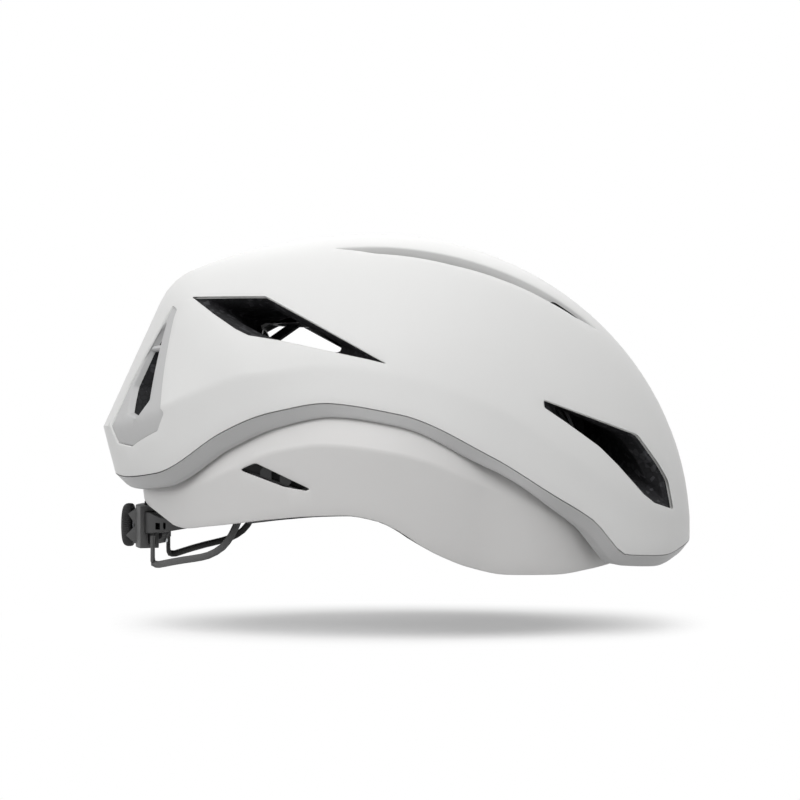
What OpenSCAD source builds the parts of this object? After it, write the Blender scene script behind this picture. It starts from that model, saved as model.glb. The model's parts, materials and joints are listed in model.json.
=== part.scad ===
// Road bike helmet with a ball-and-socket double liner and a dial fit system.
// Millimetres. +X is the front, +Y the rider's left, +Z up, and z = 0 is the surface it stands on.

/* [Side profile] */
// Height of the slip sphere's centre over the ground
centre_z = 22; // [20:0.5:24]
// Distance of the slip sphere's centre behind the middle of the helmet
centre_back = 13; // [12:0.5:14]
// Forward reach of the front half of the side profile
front_reach = 153.3; // [150:0.5:156]
// Rearward reach that sets how flat the rear of the top line is
rear_reach = 188; // [180:1:200]
// Height of the top line over the profile's base
top_rise = 145; // [143:0.5:148]
// Height of the profile's base over the ground
profile_base_z = 16; // [14:0.5:18]
// Distance from the slip centre to the flat tail face
tail_distance = 137.4; // [136:0.2:140]
// Angle of the tail face's normal over the horizontal
tail_tilt = 24.6; // [22:0.2:27]
// Half width of the outer shell
half_width = 104.5; // [103:0.5:107]
// Fullness of the cross section, where 2 is an ellipse
section_fullness = 2.4; // [2.2:0.05:2.6]

/* [Layers] */
// Radius of the ball surface between the two liners
slip_radius = 108; // [107:0.25:109]
// Gap between ball and socket
slip_gap = 0.6; // [0.5:0.05:0.8]
// Largest turn of the outer body on the ball, each way
slip_turn = 3; // [2:0.25:3]
// Thickness of the outer and lower shells
skin = 1.6; // [1.2:0.1:2]
// Thickness of the socket and dome liners
liner_skin = 1.4; // [1.2:0.1:1.8]
// Seating gap between pieces of one body
seat = 0.2; // [0.1:0.05:0.3]
// Height of the grey moulding along the outer shell's lower edge
edge_height = 4.2; // [3:0.1:5]
// Depth of the grey moulding's chamfer
edge_chamfer = 4.5; // [3:0.1:5]

/* [Head cavity] */
// Half length of the cavity in the foam
cavity_half_length = 96; // [92:0.5:97]
// Half width of the cavity in the foam
cavity_half_width = 80; // [74:0.5:81]
// Height of the cavity over the slip centre
cavity_rise = 94; // [88:0.5:95]
// Thickness of a comfort pad at its crown
pad_thickness = 5; // [3:0.5:6]

/* [Fit system] */
// Height of the dial's axis over the ground
dial_z = 18.6; // [17:0.2:19]
// Outer radius of the dial's rim over the ribs
dial_radius = 10.6; // [9.5:0.1:11]
// Number of ribs round the dial
dial_ribs = 24; // [16:1:30]
// Radius of the dial's shaft
shaft_radius = 3; // [2.5:0.1:3.2]
// Radial clearance of the shaft in its bore
shaft_clearance = 0.05; // [0.02:0.01:0.08]
// Radius of the arc that the fit bands slide along
band_radius = 61; // [60.5:0.25:61.5]
// Thickness of one fit band
band_thickness = 1.1; // [0.9:0.1:1.3]
// Pitch radius of the pinion
pinion_radius = 4; // [3.8:0.1:4.2]
// Number of pinion teeth
pinion_teeth = 8; // [7:1:9]
// Travel of the fit system on its height ladder
height_travel = 20; // [10:1:22]
// Radius of the cradle's wire loops
wire_radius = 1.7; // [1.4:0.1:1.9]

/* [Strap anchors] */
// Radius of the blind bore in a strap anchor cup
anchor_bore = 2.6; // [2:0.1:3]
// Outer radius of a strap anchor cup
anchor_radius = 5; // [4.5:0.1:5.4]
// Depth of the anchor's bore
anchor_depth = 8; // [6:0.5:8.5]

/* [Hidden] */

centre = [-centre_back, 0, centre_z];
// How far the side profile's own centre lies ahead of the slip centre
profile_ahead = 2.4;
profile_x = centre[0] + profile_ahead;
azimuths = 40;
azimuth_step = 360 / azimuths;
tail_blend = 8;
// Seam between dome and lower shell, over the outer body's lower edge, in degrees
skirt_lap = 1.5 + slip_turn;
// Turns about all three axes can add up, so the room round the skirt takes more than one
combined_turn = slip_turn * 2.2;
// Top of the relief inside the outer body, over the same edge
relief_lap = skirt_lap + combined_turn + 1;
eps = 0.01;
// How far a flat facet lies inside the ball it stands for, added where one ball turns in another
facet_angle = azimuth_step * 0.75;
facet_sag = slip_radius * (1 - cos(facet_angle));
socket_radius = slip_radius + slip_gap + facet_sag;

// Elevation in degrees over azimuth in degrees of the lines that run round the helmet, from
// the front at 0 to the rear at 180, both sides alike
EDGE_LINE = [[0, -3], [14, -3.9], [24, -5.4], [33, -5.2], [40, 1.6], [47, 6.6], [60, 16], [82, 27.1],
             [100, 29.6], [114, 26.9], [127, 21.5], [146, 11.5], [160, 10], [180, 10.5]];
CREASE_LINE = [[0, 0.5], [25, 2.3], [34, 6.6], [44, 14.8], [59, 26.5], [82, 35.4], [100, 37.3],
               [117, 34.1], [134, 28.4], [146, 23], [160, 19.5], [180, 19]];
LOW_CREASE_LINE = [[0, -6], [30, -4], [45, 3], [63, 11.4], [82, 18.1], [102, 20.5], [113, 19.1],
                   [135, 11], [150, 7.5], [180, 7]];
// Height of the rim over the ground, over azimuth
RIM_LINE = [[0, 7], [20, 5], [33, 2], [42, 0], [53, 0], [63, 3.5], [71, 9], [77, 15], [82, 21],
            [88, 26], [96, 28.5], [105, 28], [117, 26], [129, 23.2], [138, 21.4], [145, 20.2],
            [150, 21.3], [153, 23.4], [160, 27.4], [167, 29.6], [180, 32.5]];
// How far the lower shell stands out past the slip sphere at its edge, over azimuth
SKIRT_LINE = [[0, 22], [18, 21], [45, 9], [62, 0], [140, 0], [165, 4], [180, 4.5]];
// Inward lean of the wall under the outer crease, over azimuth, negative where it leans out
TUCK_LINE = [[0, 0], [45, -0.05], [75, -0.2], [100, -0.2], [125, -0.02], [140, 0.08], [165, 0.27],
             [180, 0.27]];
low_tuck = 0.15;

// Slope of a curve at point i that never overshoots its points
function secant(p, i) = (p[i + 1][1] - p[i][1]) / (p[i + 1][0] - p[i][0]);
function slope(p, i) =
    i == 0 || i == len(p) - 1 ? 0
    : let (a = secant(p, i - 1), b = secant(p, i)) a * b <= 0 ? 0 : 2 * a * b / (a + b);
function segment(p, x, i = 0) = i >= len(p) - 2 || x < p[i + 1][0] ? i : segment(p, x, i + 1);
function curve(p, x) =
    let (i = segment(p, x), h = p[i + 1][0] - p[i][0], t = (x - p[i][0]) / h)
    p[i][1] * (1 + 2 * t) * pow(1 - t, 2) + slope(p, i) * h * t * pow(1 - t, 2)
    + p[i + 1][1] * t * t * (3 - 2 * t) - slope(p, i + 1) * h * t * t * (1 - t);
// Azimuth folded to one side
function folded(az) = let (a = az % 360) a > 180 ? 360 - a : a;
function edge_el(az) = curve(EDGE_LINE, folded(az));
function crease_el(az) = curve(CREASE_LINE, folded(az));
function skirt_radius(az) = slip_radius + curve(SKIRT_LINE, folded(az));
function smooth_min(a, b, k) = min(a, b) - pow(max(k - abs(a - b), 0), 2) / (4 * k);

// Distance from the slip centre to an ellipse round the profile's centre, along (ux, uz)
function ellipse_ray(ux, uz, reach) =
    let (px = centre[0] - profile_x, pz = centre[2] - profile_base_z,
         a = pow(ux / reach, 2) + pow(uz / top_rise, 2),
         b = 2 * (px * ux / (reach * reach) + pz * uz / (top_rise * top_rise)),
         c = pow(px / reach, 2) + pow(pz / top_rise, 2) - 1)
    (-b + sqrt(b * b - 4 * a * c)) / (2 * a);
function side_profile(ux, uz) =
    let (front = ellipse_ray(ux, uz, front_reach),
         top = centre[0] + front * ux < profile_x ? ellipse_ray(ux, uz, rear_reach) : front,
         facing = -ux * cos(tail_tilt) + uz * sin(tail_tilt))
    facing > eps ? smooth_min(top, tail_distance / facing, tail_blend) : top;
// The smooth body of the outer surface, and the surface with its wall under the crease
function body_radius(az, el) =
    let (ux = cos(az) * cos(el), uy = abs(sin(az) * cos(el)), uz = sin(el), c = norm([ux, uz]))
    c < eps ? half_width
    : pow(pow(c / side_profile(ux / c, uz / c), section_fullness)
          + pow(uy / half_width, section_fullness), -1 / section_fullness);
function wall_radius(el, top_el, top_r, lean) =
    let (rho = top_r * cos(top_el), drop = rho * (tan(top_el) - tan(el)))
    (rho - lean * drop) / cos(el);
function outer_radius(az, el) =
    let (c = crease_el(az))
    el >= c ? body_radius(az, el)
    : wall_radius(el, c, body_radius(az, c), curve(TUCK_LINE, folded(az)));
function lower_radius(az, el) =
    let (c = curve(LOW_CREASE_LINE, folded(az)))
    el >= c ? skirt_radius(az) : wall_radius(el, c, skirt_radius(az), low_tuck);
function cavity_radius(az, el) =
    1 / norm([cos(az) * cos(el) / cavity_half_length, sin(az) * cos(el) / cavity_half_width,
              sin(el) / cavity_rise]);
// Elevation of the rim, from its height over the ground
function rim_el(az) =
    let (rho = skirt_radius(az) * 0.97) atan((curve(RIM_LINE, folded(az)) - centre[2]) / rho);
// Inner face of the outer body at its edge: clear of the skirt over the whole turn
function relief_radius(az) =
    max([for (k = [-1, 0, 1]) skirt_radius(az + k * combined_turn + 360)]) + slip_gap + facet_sag;
function edge_degrees() = edge_height / (2 * PI * slip_radius) * 360;
seat_degrees = seat / slip_radius * 180 / PI * 1.5;
function point(az, el, r) = centre + r * [cos(el) * cos(az), cos(el) * sin(az), sin(el)];

// Two triangles for the four corners a, b, c, d of a face, split along its shorter diagonal
function split(p, a, b, c, d) =
    norm(p[a] - p[c]) <= norm(p[b] - p[d]) ? [[a, b, c], [a, c, d]] : [[a, b, d], [b, c, d]];

// A closed skin between two radius functions. Ring 0 is the lowest; ring n is the pole at 90
// degrees, or an open ring. ring(az, i) gives a ring's elevation, and the radius functions take
// the ring's number too, so that a surface can step. inner_ring sets the inner face's own rings.
module skin_layer(n, ring, outer, inner, pole = true, inner_ring = undef) {
    low = is_undef(inner_ring) ? ring : inner_ring;
    m = azimuths;
    rings = pole ? n : n + 1;
    az = [for (j = [0:m - 1]) j * azimuth_step];
    outside = [for (i = [0:rings - 1], a = az) point(a, ring(a, i), outer(a, ring(a, i), i))];
    inside = [for (i = [0:rings - 1], a = az) point(a, low(a, i), inner(a, low(a, i), i))];
    poles = pole ? [point(0, 90, outer(0, 90, n)), point(0, 90, inner(0, 90, n))] : [];
    s = rings * m;
    points = concat(outside, inside, poles);
    function at(i, j) = i * m + j % m;
    wall = [for (i = [0:rings - 2], j = [0:m - 1]) each concat(
        split(points, at(i, j), at(i + 1, j), at(i + 1, j + 1), at(i, j + 1)),
        split(points, s + at(i, j), s + at(i, j + 1), s + at(i + 1, j + 1), s + at(i + 1, j)))];
    low_rim = [for (j = [0:m - 1]) each [
        [at(0, j), at(0, j + 1), s + at(0, j + 1)],
        [at(0, j), s + at(0, j + 1), s + at(0, j)]]];
    last = rings - 1;
    top = [for (j = [0:m - 1]) each pole
        ? [[at(last, j), 2 * s, at(last, j + 1)],
           [s + at(last, j), s + at(last, j + 1), 2 * s + 1]]
        : [[at(last, j), s + at(last, j + 1), at(last, j + 1)],
           [at(last, j), s + at(last, j), s + at(last, j + 1)]]];
    polyhedron(points, concat(wall, low_rim, top));
}

// Openings
// Side openings are outlines of [x, z] at the shell and at the end of the opening
REAR_SIDE_OUT = [[-97, 128], [-60, 128], [-9, 99.5], [-4, 96.2], [-15, 97.6], [-69.5, 109.2],
                 [-73, 111.8], [-92, 123.6]];
REAR_SIDE_IN = [[-66, 117], [-40, 117], [-22, 105], [-22, 101], [-52, 103], [-64, 108]];
FRONT_SIDE_OUT = [[66, 79.5], [109.4, 64.7], [112.4, 62.4], [127, 42.6], [129.5, 29.4],
                  [118.4, 32.8], [111, 39], [91.8, 59], [66.8, 77]];
FRONT_SIDE_IN = [[58, 82], [84, 76], [90, 70], [90, 58], [72, 66]];
LOW_VENT_OUT = [[-71, 48.7], [-63.6, 52], [-39.5, 40.2], [-43, 39.3], [-50.4, 41.6]];
// Rear openings and surrounds are outlines of [y, z]
SURROUND = [[50, 124], [55, 122], [73, 74], [70, 66], [56, 58.5], [45, 60], [41, 68], [41, 86]];
EXHAUST = [[50, 117], [64, 80], [61, 71], [52, 74], [45, 86], [45, 109]];
// The top slit, as [x, y] of its upper and lower edge
TOP_SLIT = [[-30, 48.6], [1, 48.6], [37, 49], [69.4, 45.5], [95, 44.5], [84, 51.5], [58, 56.5],
            [27.7, 58.6], [1, 56], [-28, 51]];
BROW_PORT = [[-17, 58], [17, 58], [20, 50], [0, 47.5], [-20, 50]];
slit_steps = 4;

module both_sides() {
    children();
    mirror([0, 1, 0]) children();
}
// A tapering hole along Y from one outline at y0 to another at y1
module side_hole(outline_0, y0, outline_1, y1) {
    hull() {
        translate([0, y0, 0]) rotate([90, 0, 0]) linear_extrude(eps) polygon(outline_0);
        translate([0, y1, 0]) rotate([90, 0, 0]) linear_extrude(eps) polygon(outline_1);
    }
}
// A hole along X from x0 to x1, of an outline in [y, z]
module rear_hole(outline, x0, x1) {
    hull() for (x = [x0, x1]) translate([x, 0, 0]) multmatrix([[0, 0, 1, 0], [1, 0, 0, 0], [0, 1, 0, 0]])
        linear_extrude(eps) polygon(outline);
}
function grown(outline, g) =
    let (c = [for (k = [0, 1]) ([for (p = outline) p[k]] * [for (p = outline) 1]) / len(outline)])
    [for (p = outline) c + (p - c) * (1 + g / norm(p - c))];
// The long slit over each side of the crown, as a run of short convex cuts
module top_slit(depth, inset) {
    n = len(TOP_SLIT);
    for (i = [0:slit_steps - 1]) {
        quad = [TOP_SLIT[i], TOP_SLIT[i + 1], TOP_SLIT[n - 2 - i], TOP_SLIT[n - 1 - i]];
        hull() for (z = [depth, 170]) translate([0, z > depth ? 0 : -inset, z])
            linear_extrude(eps) polygon(quad);
    }
}
// Every opening of the outer body
module outer_openings() {
    both_sides() {
        side_hole(REAR_SIDE_OUT, 125, REAR_SIDE_OUT, 60);
        side_hole(REAR_SIDE_OUT, 60 + eps, REAR_SIDE_IN, 25);
        side_hole(FRONT_SIDE_OUT, 125, FRONT_SIDE_OUT, 60);
        side_hole(FRONT_SIDE_OUT, 60 + eps, FRONT_SIDE_IN, 20);
        top_slit(110, 8);
        rear_hole(EXHAUST, -170, -60);
    }
    rear_hole(BROW_PORT, 60, 170);
}
// Openings of the inner body: side tunnels, slits, brow channel and exhausts
module inner_openings() {
    side_hole(REAR_SIDE_IN, 125, REAR_SIDE_IN, -125);
    both_sides() {
        side_hole(FRONT_SIDE_IN, 125, FRONT_SIDE_IN, 10);
        top_slit(90, 10);
        rear_hole(EXHAUST, -170, -60);
    }
    rear_hole(BROW_PORT, 40, 170);
}
TETHERS_FRONT = [[62, 45], [-62, 45]];
TETHERS_REAR = [[165, 48], [-165, 48]];
tether_radius = 3;
tether_foot = 0.6;
tether_depth = 6;
pocket_clearance = 0.7;
// How far a point of the ball moves in one full turn
slip_reach = slip_radius * slip_turn * PI / 180;
module along_radius(az, el) {
    translate(centre) rotate([0, 90 - el, az]) children();
}
// Room for tethers that follow the given number of turns at right angles to each other
module tether_rooms(places, turns) {
    room = tether_radius + tether_foot + slip_reach * sqrt(turns) + pocket_clearance;
    for (s = places) along_radius(s[0], s[1])
        translate([0, 0, slip_radius - 2 * tether_depth])
            cylinder(h = 4 * tether_depth, r = room, $fn = 16);
}
module tether_pockets() {
    difference() {
        union() {
            tether_rooms(TETHERS_FRONT, 1);
            tether_rooms(TETHERS_REAR, 2);
        }
        translate(centre) sphere(r = slip_radius - tether_depth, $fn = 72);
    }
}
module tethers(places) {
    for (s = places) along_radius(s[0], s[1])
        translate([0, 0, slip_radius - tether_depth + seat]) {
            cylinder(h = tether_depth, r = tether_radius, $fn = 32);
            cylinder(h = tether_depth / 4, r = tether_radius + tether_foot, $fn = 32);
        }
}

// Outer body
// Shell and foam share their outer rings: four under the crease, then up to the crown
outer_rings = 11;
function outer_ring(az, i) =
    let (low = edge_el(az) + seat_degrees, c = crease_el(az))
    i < 4 ? low + (c - low) * i / 3 : c + (90 - c) * (i - 3) / (outer_rings - 3);
// Socket and foam share the rings of the socket, which start at the top of the relief
function relief_top(az) = edge_el(az) - edge_degrees() + relief_lap;
socket_rings = outer_rings - 3;
function socket_ring(az, i) = let (t = relief_top(az) + 2 * seat_degrees) t + (90 - t) * i / socket_rings;
module outer_shell() {
    color("#f2f2f2") difference() {
        skin_layer(outer_rings, function (a, i) outer_ring(a, i),
                   function (a, e, i) outer_radius(a, e), function (a, e, i) outer_radius(a, e) - skin);
        outer_openings();
        both_sides() rear_hole(grown(SURROUND, seat), -170, -90);
    }
}
module outer_liner_foam() {
    depth = skin + seat;
    color("#3c3d40") difference() {
        skin_layer(outer_rings, function (a, i) outer_ring(a, i),
                   function (a, e, i) outer_radius(a, e) - depth,
                   function (a, e, i) i < 3 ? min(relief_radius(a), outer_radius(a, e) - depth - 0.8)
                                      : socket_radius + liner_skin + seat,
                   true,
                   function (a, i) let (low = edge_el(a) + seat_degrees)
                       i < 3 ? low + (relief_top(a) - low) * i / 2 : socket_ring(a, i - 3));
        outer_openings();
        intersection() {
            both_sides() rear_hole(grown(SURROUND, seat), -170, -90);
            difference() {
                translate([-200, -150, 0]) cube([150, 300, 160]);
                surround_bed();
            }
        }
    }
}
surround_depth = 3.6;
// The foam that the exhaust surrounds lie on
module surround_bed() {
    n = 6;
    skin_layer(n, function (a, i) 3 + 77 * i / n,
               function (a, e, i) outer_radius(a, e) - surround_depth - seat, function (a, e, i) 60, false);
}
module exhaust_surrounds() {
    n = 6;
    color("#d9dadb") {
        difference() {
            intersection() {
                skin_layer(n, function (a, i) 3 + 77 * i / n, function (a, e, i) outer_radius(a, e) - 0.8,
                           function (a, e, i) outer_radius(a, e) - surround_depth, false);
                both_sides() rear_hole(SURROUND, -170, -90);
            }
            both_sides() difference() {
                rear_hole(EXHAUST, -170, -80);
                hull() for (p = [[52, 108], [60, 103]]) translate([-150, p[0], p[1] - 3])
                    rotate([0, 90, 0]) cylinder(h = 60, r = 1.2, $fn = 24);
                hull() for (p = [[38, 106], [52, 105]]) translate([-150, p[0], p[1]])
                    rotate([0, 90, 0]) cylinder(h = 60, r = 1.2, $fn = 24);
            }
        }
    }
}
module outer_edge_trim() {
    color("#a2a4a6") skin_layer(1, function (a, i) edge_el(a) - (1 - i) * edge_degrees(),
        function (a, e, i) i > 0 ? outer_radius(a, e)
            : max(relief_radius(a) + 0.6, outer_radius(a, e) - edge_chamfer),
        function (a, e, i) max(relief_radius(a), outer_radius(a, edge_el(a)) - 2 * edge_chamfer), false);
}
module slip_socket() {
    color("#c9ccd0") difference() {
        skin_layer(socket_rings, function (a, i) socket_ring(a, i),
                   function (a, e, i) socket_radius + liner_skin, function (a, e, i) socket_radius);
        outer_openings();
    }
}
module front_tethers() {
    color("#26272a") tethers(TETHERS_FRONT);
}
module rear_tethers() {
    color("#26272a") tethers(TETHERS_REAR);
}

// Inner body
function skirt_top(az) = edge_el(az) - edge_degrees() + skirt_lap;
// Lower shell and foam share the skirt's rings, dome and foam those of the dome
function skirt_ring(az, i) =
    let (low = rim_el(az), top = skirt_top(az), c = min(curve(LOW_CREASE_LINE, folded(az)), top - 1.5))
    i < 4 ? low + (c - low) * i / 3 : c + (top - 1.2 - c) * (i - 3) / 2;
dome_rings = 7;
function dome_ring(az, i) = let (t = skirt_top(az) + seat_degrees) t + (90 - t) * i / dome_rings;
module slip_dome() {
    color("#e4e6e8") difference() {
        skin_layer(dome_rings, function (a, i) dome_ring(a, i),
                   function (a, e, i) slip_radius, function (a, e, i) slip_radius - liner_skin);
        inner_openings();
        tether_pockets();
    }
}
module lower_shell() {
    n = 6;
    color("#e6e6e6") difference() {
        skin_layer(n, function (a, i) i < n ? skirt_ring(a, i) : skirt_top(a),
                   function (a, e, i) lower_radius(a, e),
                   function (a, e, i) lower_radius(a, e) - skin, false);
        both_sides() side_hole(LOW_VENT_OUT, 125, LOW_VENT_OUT, 60);
        both_sides() side_hole(REAR_SIDE_IN, 125, REAR_SIDE_IN, 60);
        both_sides() side_hole(FRONT_SIDE_IN, 125, FRONT_SIDE_IN, 60);
        both_sides() rear_hole(EXHAUST, -170, -80);
    }
}
// The height ladder stands in a pocket of the foam
ladder_low = 35;
ladder_hold = 7.9;
slider_top = ladder_low + height_travel + ladder_hold;
ladder_top = slider_top + 3;
ladder_half_width = 9;
ladder_pocket = [[-108.5, -ladder_half_width - 0.5, 20],
                 [20, 2 * ladder_half_width + 1, ladder_top + 2 - 20]];
// Room for the cradle's arms under the foam's rim: inner and outer radius and height over ground
cradle_room = [56, 84, 35];
module inner_liner_foam() {
    n = 6 + dome_rings;
    color("#2c2d30") difference() {
        skin_layer(n, function (a, i) i < 6 ? skirt_ring(a, i)
                                      : i < 7 ? skirt_top(a) - 0.8 : dome_ring(a, i - 6),
                   function (a, e, i) i < 6 ? lower_radius(a, e) - skin - seat
                                            : slip_radius - liner_skin - seat,
                   function (a, e, i) cavity_radius(a, e));
        inner_openings();
        tether_pockets();
        both_sides() side_hole(grown(LOW_VENT_OUT, 1), 125, grown(LOW_VENT_OUT, 1), grille_y);
        translate(ladder_pocket[0]) cube(ladder_pocket[1]);
        both_sides() arc(cradle_room[0], cradle_room[1], -1, cradle_room[2], case_angle - 2, arm_end + 3);
        for (a = ANCHORS) translate(a - [0, 0, 20]) cylinder(h = 20 + anchor_depth + 2 + seat,
                                                            r = anchor_radius + seat, $fn = 16);
    }
}
// Distance of the grille wells' back walls from the middle plane, and the fins in front of them
grille_y = 80;
FIN_X = [-62, -53];
fin_thickness = 1.2;
// Everything inside the lower shell
module well_room() {
    skin_layer(6, function (a, i) i < 6 ? skirt_ring(a, i) : skirt_top(a),
               function (a, e, i) lower_radius(a, e) - skin - seat, function (a, e, i) 50, false);
}
// Black wells behind the small lower vents, each with two fins
module lower_vent_grilles() {
    color("#101113") both_sides() {
        intersection() {
            difference() {
                side_hole(grown(LOW_VENT_OUT, 0.7), 125, grown(LOW_VENT_OUT, 0.7), grille_y + seat);
                side_hole(grown(LOW_VENT_OUT, -1), 125, grown(LOW_VENT_OUT, -1), grille_y + 2);
            }
            well_room();
        }
        intersection() {
            for (x = FIN_X) hull() for (k = [0, 4]) translate([x + k, grille_y + 1.5, 38 + 1.2 * k])
                cube([fin_thickness, 30, 10]);
            side_hole(grown(LOW_VENT_OUT, -0.9), 125, grown(LOW_VENT_OUT, -0.9), grille_y + 1);
            well_room();
        }
    }
}
bridge_y = 3;
bridge_depth = 6;
bridge_width = 6;
bridge_lean = 1.43;
bridge_x = -217.8;
// The diagonal bars that cross the side tunnels
module vent_bridges() {
    color("#34353a") both_sides() intersection() {
        side_hole(grown(REAR_SIDE_IN, -seat), bridge_y + bridge_depth,
                  grown(REAR_SIDE_IN, -seat), bridge_y);
        multmatrix([[1, 0, bridge_lean, bridge_x], [0, 1, 0, 0], [0, 0, 1, 0]])
            translate([-bridge_width / 2, 0, 90]) cube([bridge_width, 30, 40]);
    }
}
ANCHORS = [[50, 75, 1], [50, -75, 1], [-47.8, 82.6, 29], [-47.8, -82.6, 29]];
module strap_anchors() {
    color("#1b1c1e") for (a = ANCHORS) translate(a) difference() {
        cylinder(h = anchor_depth + 2, r = anchor_radius, $fn = 48);
        translate([0, 0, -1]) cylinder(h = anchor_depth + 1, r = anchor_bore, $fn = 48);
    }
}

// Comfort pads
pad_rows = 4;
// A cushion on the cavity wall round (az, el), half as wide and high as given in degrees, with
// a crown in the middle and its sides drawn in. lift clears the wall's facets.
module pad(az, el, half_az, half_el, lift) {
    m = 2 * pad_rows;
    function u(k, n) = 2 * k / n - 1;
    function width(v) = 1 - 0.12 * pow(abs(v), 3) - 0.05 * (1 - v * v);
    function thick(a, b) = 1.2 + (pad_thickness - 1.2) * pow((1 - pow(a, 4)) * (1 - pow(b, 4)), 0.5);
    function place(i, j) = [az + half_az * u(i, m) * width(u(j, pad_rows)),
                            el + half_el * u(j, pad_rows) * width(u(i, m))];
    seats = [for (j = [0:pad_rows], i = [0:m]) let (p = place(i, j))
        point(p[0], p[1], cavity_radius(p[0], p[1]) - lift)];
    faces_in = [for (j = [0:pad_rows], i = [0:m]) let (p = place(i, j))
        point(p[0], p[1], cavity_radius(p[0], p[1]) - lift - thick(u(i, m), u(j, pad_rows)))];
    s = (pad_rows + 1) * (m + 1);
    function at(i, j) = j * (m + 1) + i;
    sheet = [for (j = [0:pad_rows - 1], i = [0:m - 1]) each [
        [at(i, j), at(i, j + 1), at(i + 1, j + 1)], [at(i, j), at(i + 1, j + 1), at(i + 1, j)],
        [s + at(i, j), s + at(i + 1, j + 1), s + at(i, j + 1)],
        [s + at(i, j), s + at(i + 1, j), s + at(i + 1, j + 1)]]];
    border = concat([for (i = [0:m]) at(i, 0)], [for (j = [1:pad_rows]) at(m, j)],
                    [for (i = [m - 1:-1:0]) at(i, pad_rows)], [for (j = [pad_rows - 1:-1:1]) at(0, j)]);
    b = len(border);
    rim = [for (k = [0:b - 1]) let (p = border[k], q = border[(k + 1) % b]) each [
        [p, q, s + q], [p, s + q, s + p]]];
    polyhedron(concat(seats, faces_in), concat(sheet, rim));
}
module brow_pad() {
    color("#191a1c") pad(0, 5.5, 52, 5.5, 1.5);
}
module crown_pads() {
    color("#191a1c") {
        pad(0, 64, 22, 10, 0.9);
        for (s = [-1, 1]) {
            pad(s * 150, 47, 9, 6, 0.9);
        }
    }
}
module side_pads() {
    color("#191a1c") for (s = [-1, 1]) {
        pad(s * 84, 22, 16, 7, 0.5);
    }
}
module rear_pads() {
    color("#191a1c") for (s = [-1, 1]) pad(s * 140, 27, 12, 8, 1);
}

// Fit system
band_centre_x = -62;
band_gap = 0.4;
// The toothed bands run one outside the other
inner_band = band_radius - band_thickness - band_gap / 2;
outer_band = band_radius + band_gap / 2;
cover_radius = inner_band - band_gap;
case_radius = outer_band + band_thickness + band_gap;
case_wall = 3.9;
case_angle = 22;
band_low = dial_z - 7.6;
band_high = dial_z + 7.6;
case_low = band_low - 2.4;
case_high = band_high + 2.4;
arm_inside = case_radius + seat;
arm_thickness = 1.7;
arm_end = 82;
// Side views of an arm and of a band's plain strip, as [x, z]
ARM_SIDE = [[-126, 15], [-113.5, 16.8], [-98, 20], [-80, 23.2], [-66, 25.2], [-66, 31], [-84, 30],
            [-98, 25.6], [-107, 24.1], [-112, 24.3], [-118, 26], [-126, 26.5]];
STRIP_SIDE = [[-126, 16.5], [-113.5, 18.3], [-98, 21.5], [-80, 24.8], [-58, 27.5], [-58, 33],
              [-80, 31], [-98, 27.2], [-112, 26], [-126, 26]];
// The dial's inner face stands off the case by its boss and the detent spring
boss_height = 0.7;
dial_x = band_centre_x - case_radius - case_wall - boss_height - 0.5;
bore_reach = 25;
rim_depth = 5.4;
core_depth = 4.8;
screw_head = 1.5;
main_screw_radius = 1;
rack_clear = 1.25;
rack_tip = 0.9;
tooth_width = 0.8;

// A strip bent round the bands' centre, from angle a0 to a1 measured from the rear
module arc(r0, r1, z0, z1, a0, a1) {
    translate([band_centre_x, 0, z0]) rotate([0, 0, 180 - a1]) rotate_extrude(angle = a1 - a0, $fn = 120)
        translate([r0, 0]) square([r1 - r0, z1 - z0]);
}
window_angle = 13.2;
// Where the band narrows to its plain strip, and where it ends
strip_start = 28;
band_end = 78;
module side_prism(outline) {
    translate([0, 150, 0]) rotate([90, 0, 0]) linear_extrude(300) polygon(outline);
}
tooth_pitch = 2 * PI * pinion_radius / pinion_teeth;
rack_teeth = 8;
tooth_root = 0.3;
tooth_inset = 0.15;
// A toothed band: a window with a rack on its top or bottom edge, then a plain strip
module toothed_band(r0, side) {
    r1 = r0 + band_thickness;
    pitch_angle = tooth_pitch / (2 * PI * (r0 + r1) / 2) * 360;
    root = pinion_radius + rack_clear;
    difference() {
        arc(r0, r1, band_low, band_high, -window_angle - 2, band_end);
        arc(r0 - 1, r1 + 1, dial_z - root, dial_z + root, -window_angle, window_angle);
        arc(r0 - 1, r1 + 1, band_low - 1, band_high + 1, strip_start, band_end + 1);
    }
    intersection() {
        arc(r0, r1, band_low, 2 * band_high, strip_start - eps, band_end);
        side_prism(STRIP_SIDE);
    }
    for (k = [-rack_teeth / 2:rack_teeth / 2 - 1]) {
        a = (k + 0.5) * pitch_angle;
        z = side > 0 ? dial_z + pinion_radius - rack_tip : dial_z - root - tooth_root;
        translate([band_centre_x, 0, 0]) rotate([0, 0, 180 - a])
            translate([r0 + tooth_inset, -tooth_width / 2, z])
                cube([band_thickness - 2 * tooth_inset, tooth_width, rack_clear + rack_tip + tooth_root]);
    }
}
module left_band() {
    color("#2a2b2e") toothed_band(inner_band, 1);
}
module right_band() {
    color("#2a2b2e") mirror([0, 1, 0]) toothed_band(outer_band, -1);
}
module dial_axis(x) {
    translate([x, 0, dial_z]) rotate([0, 90, 0]) children();
}
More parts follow.
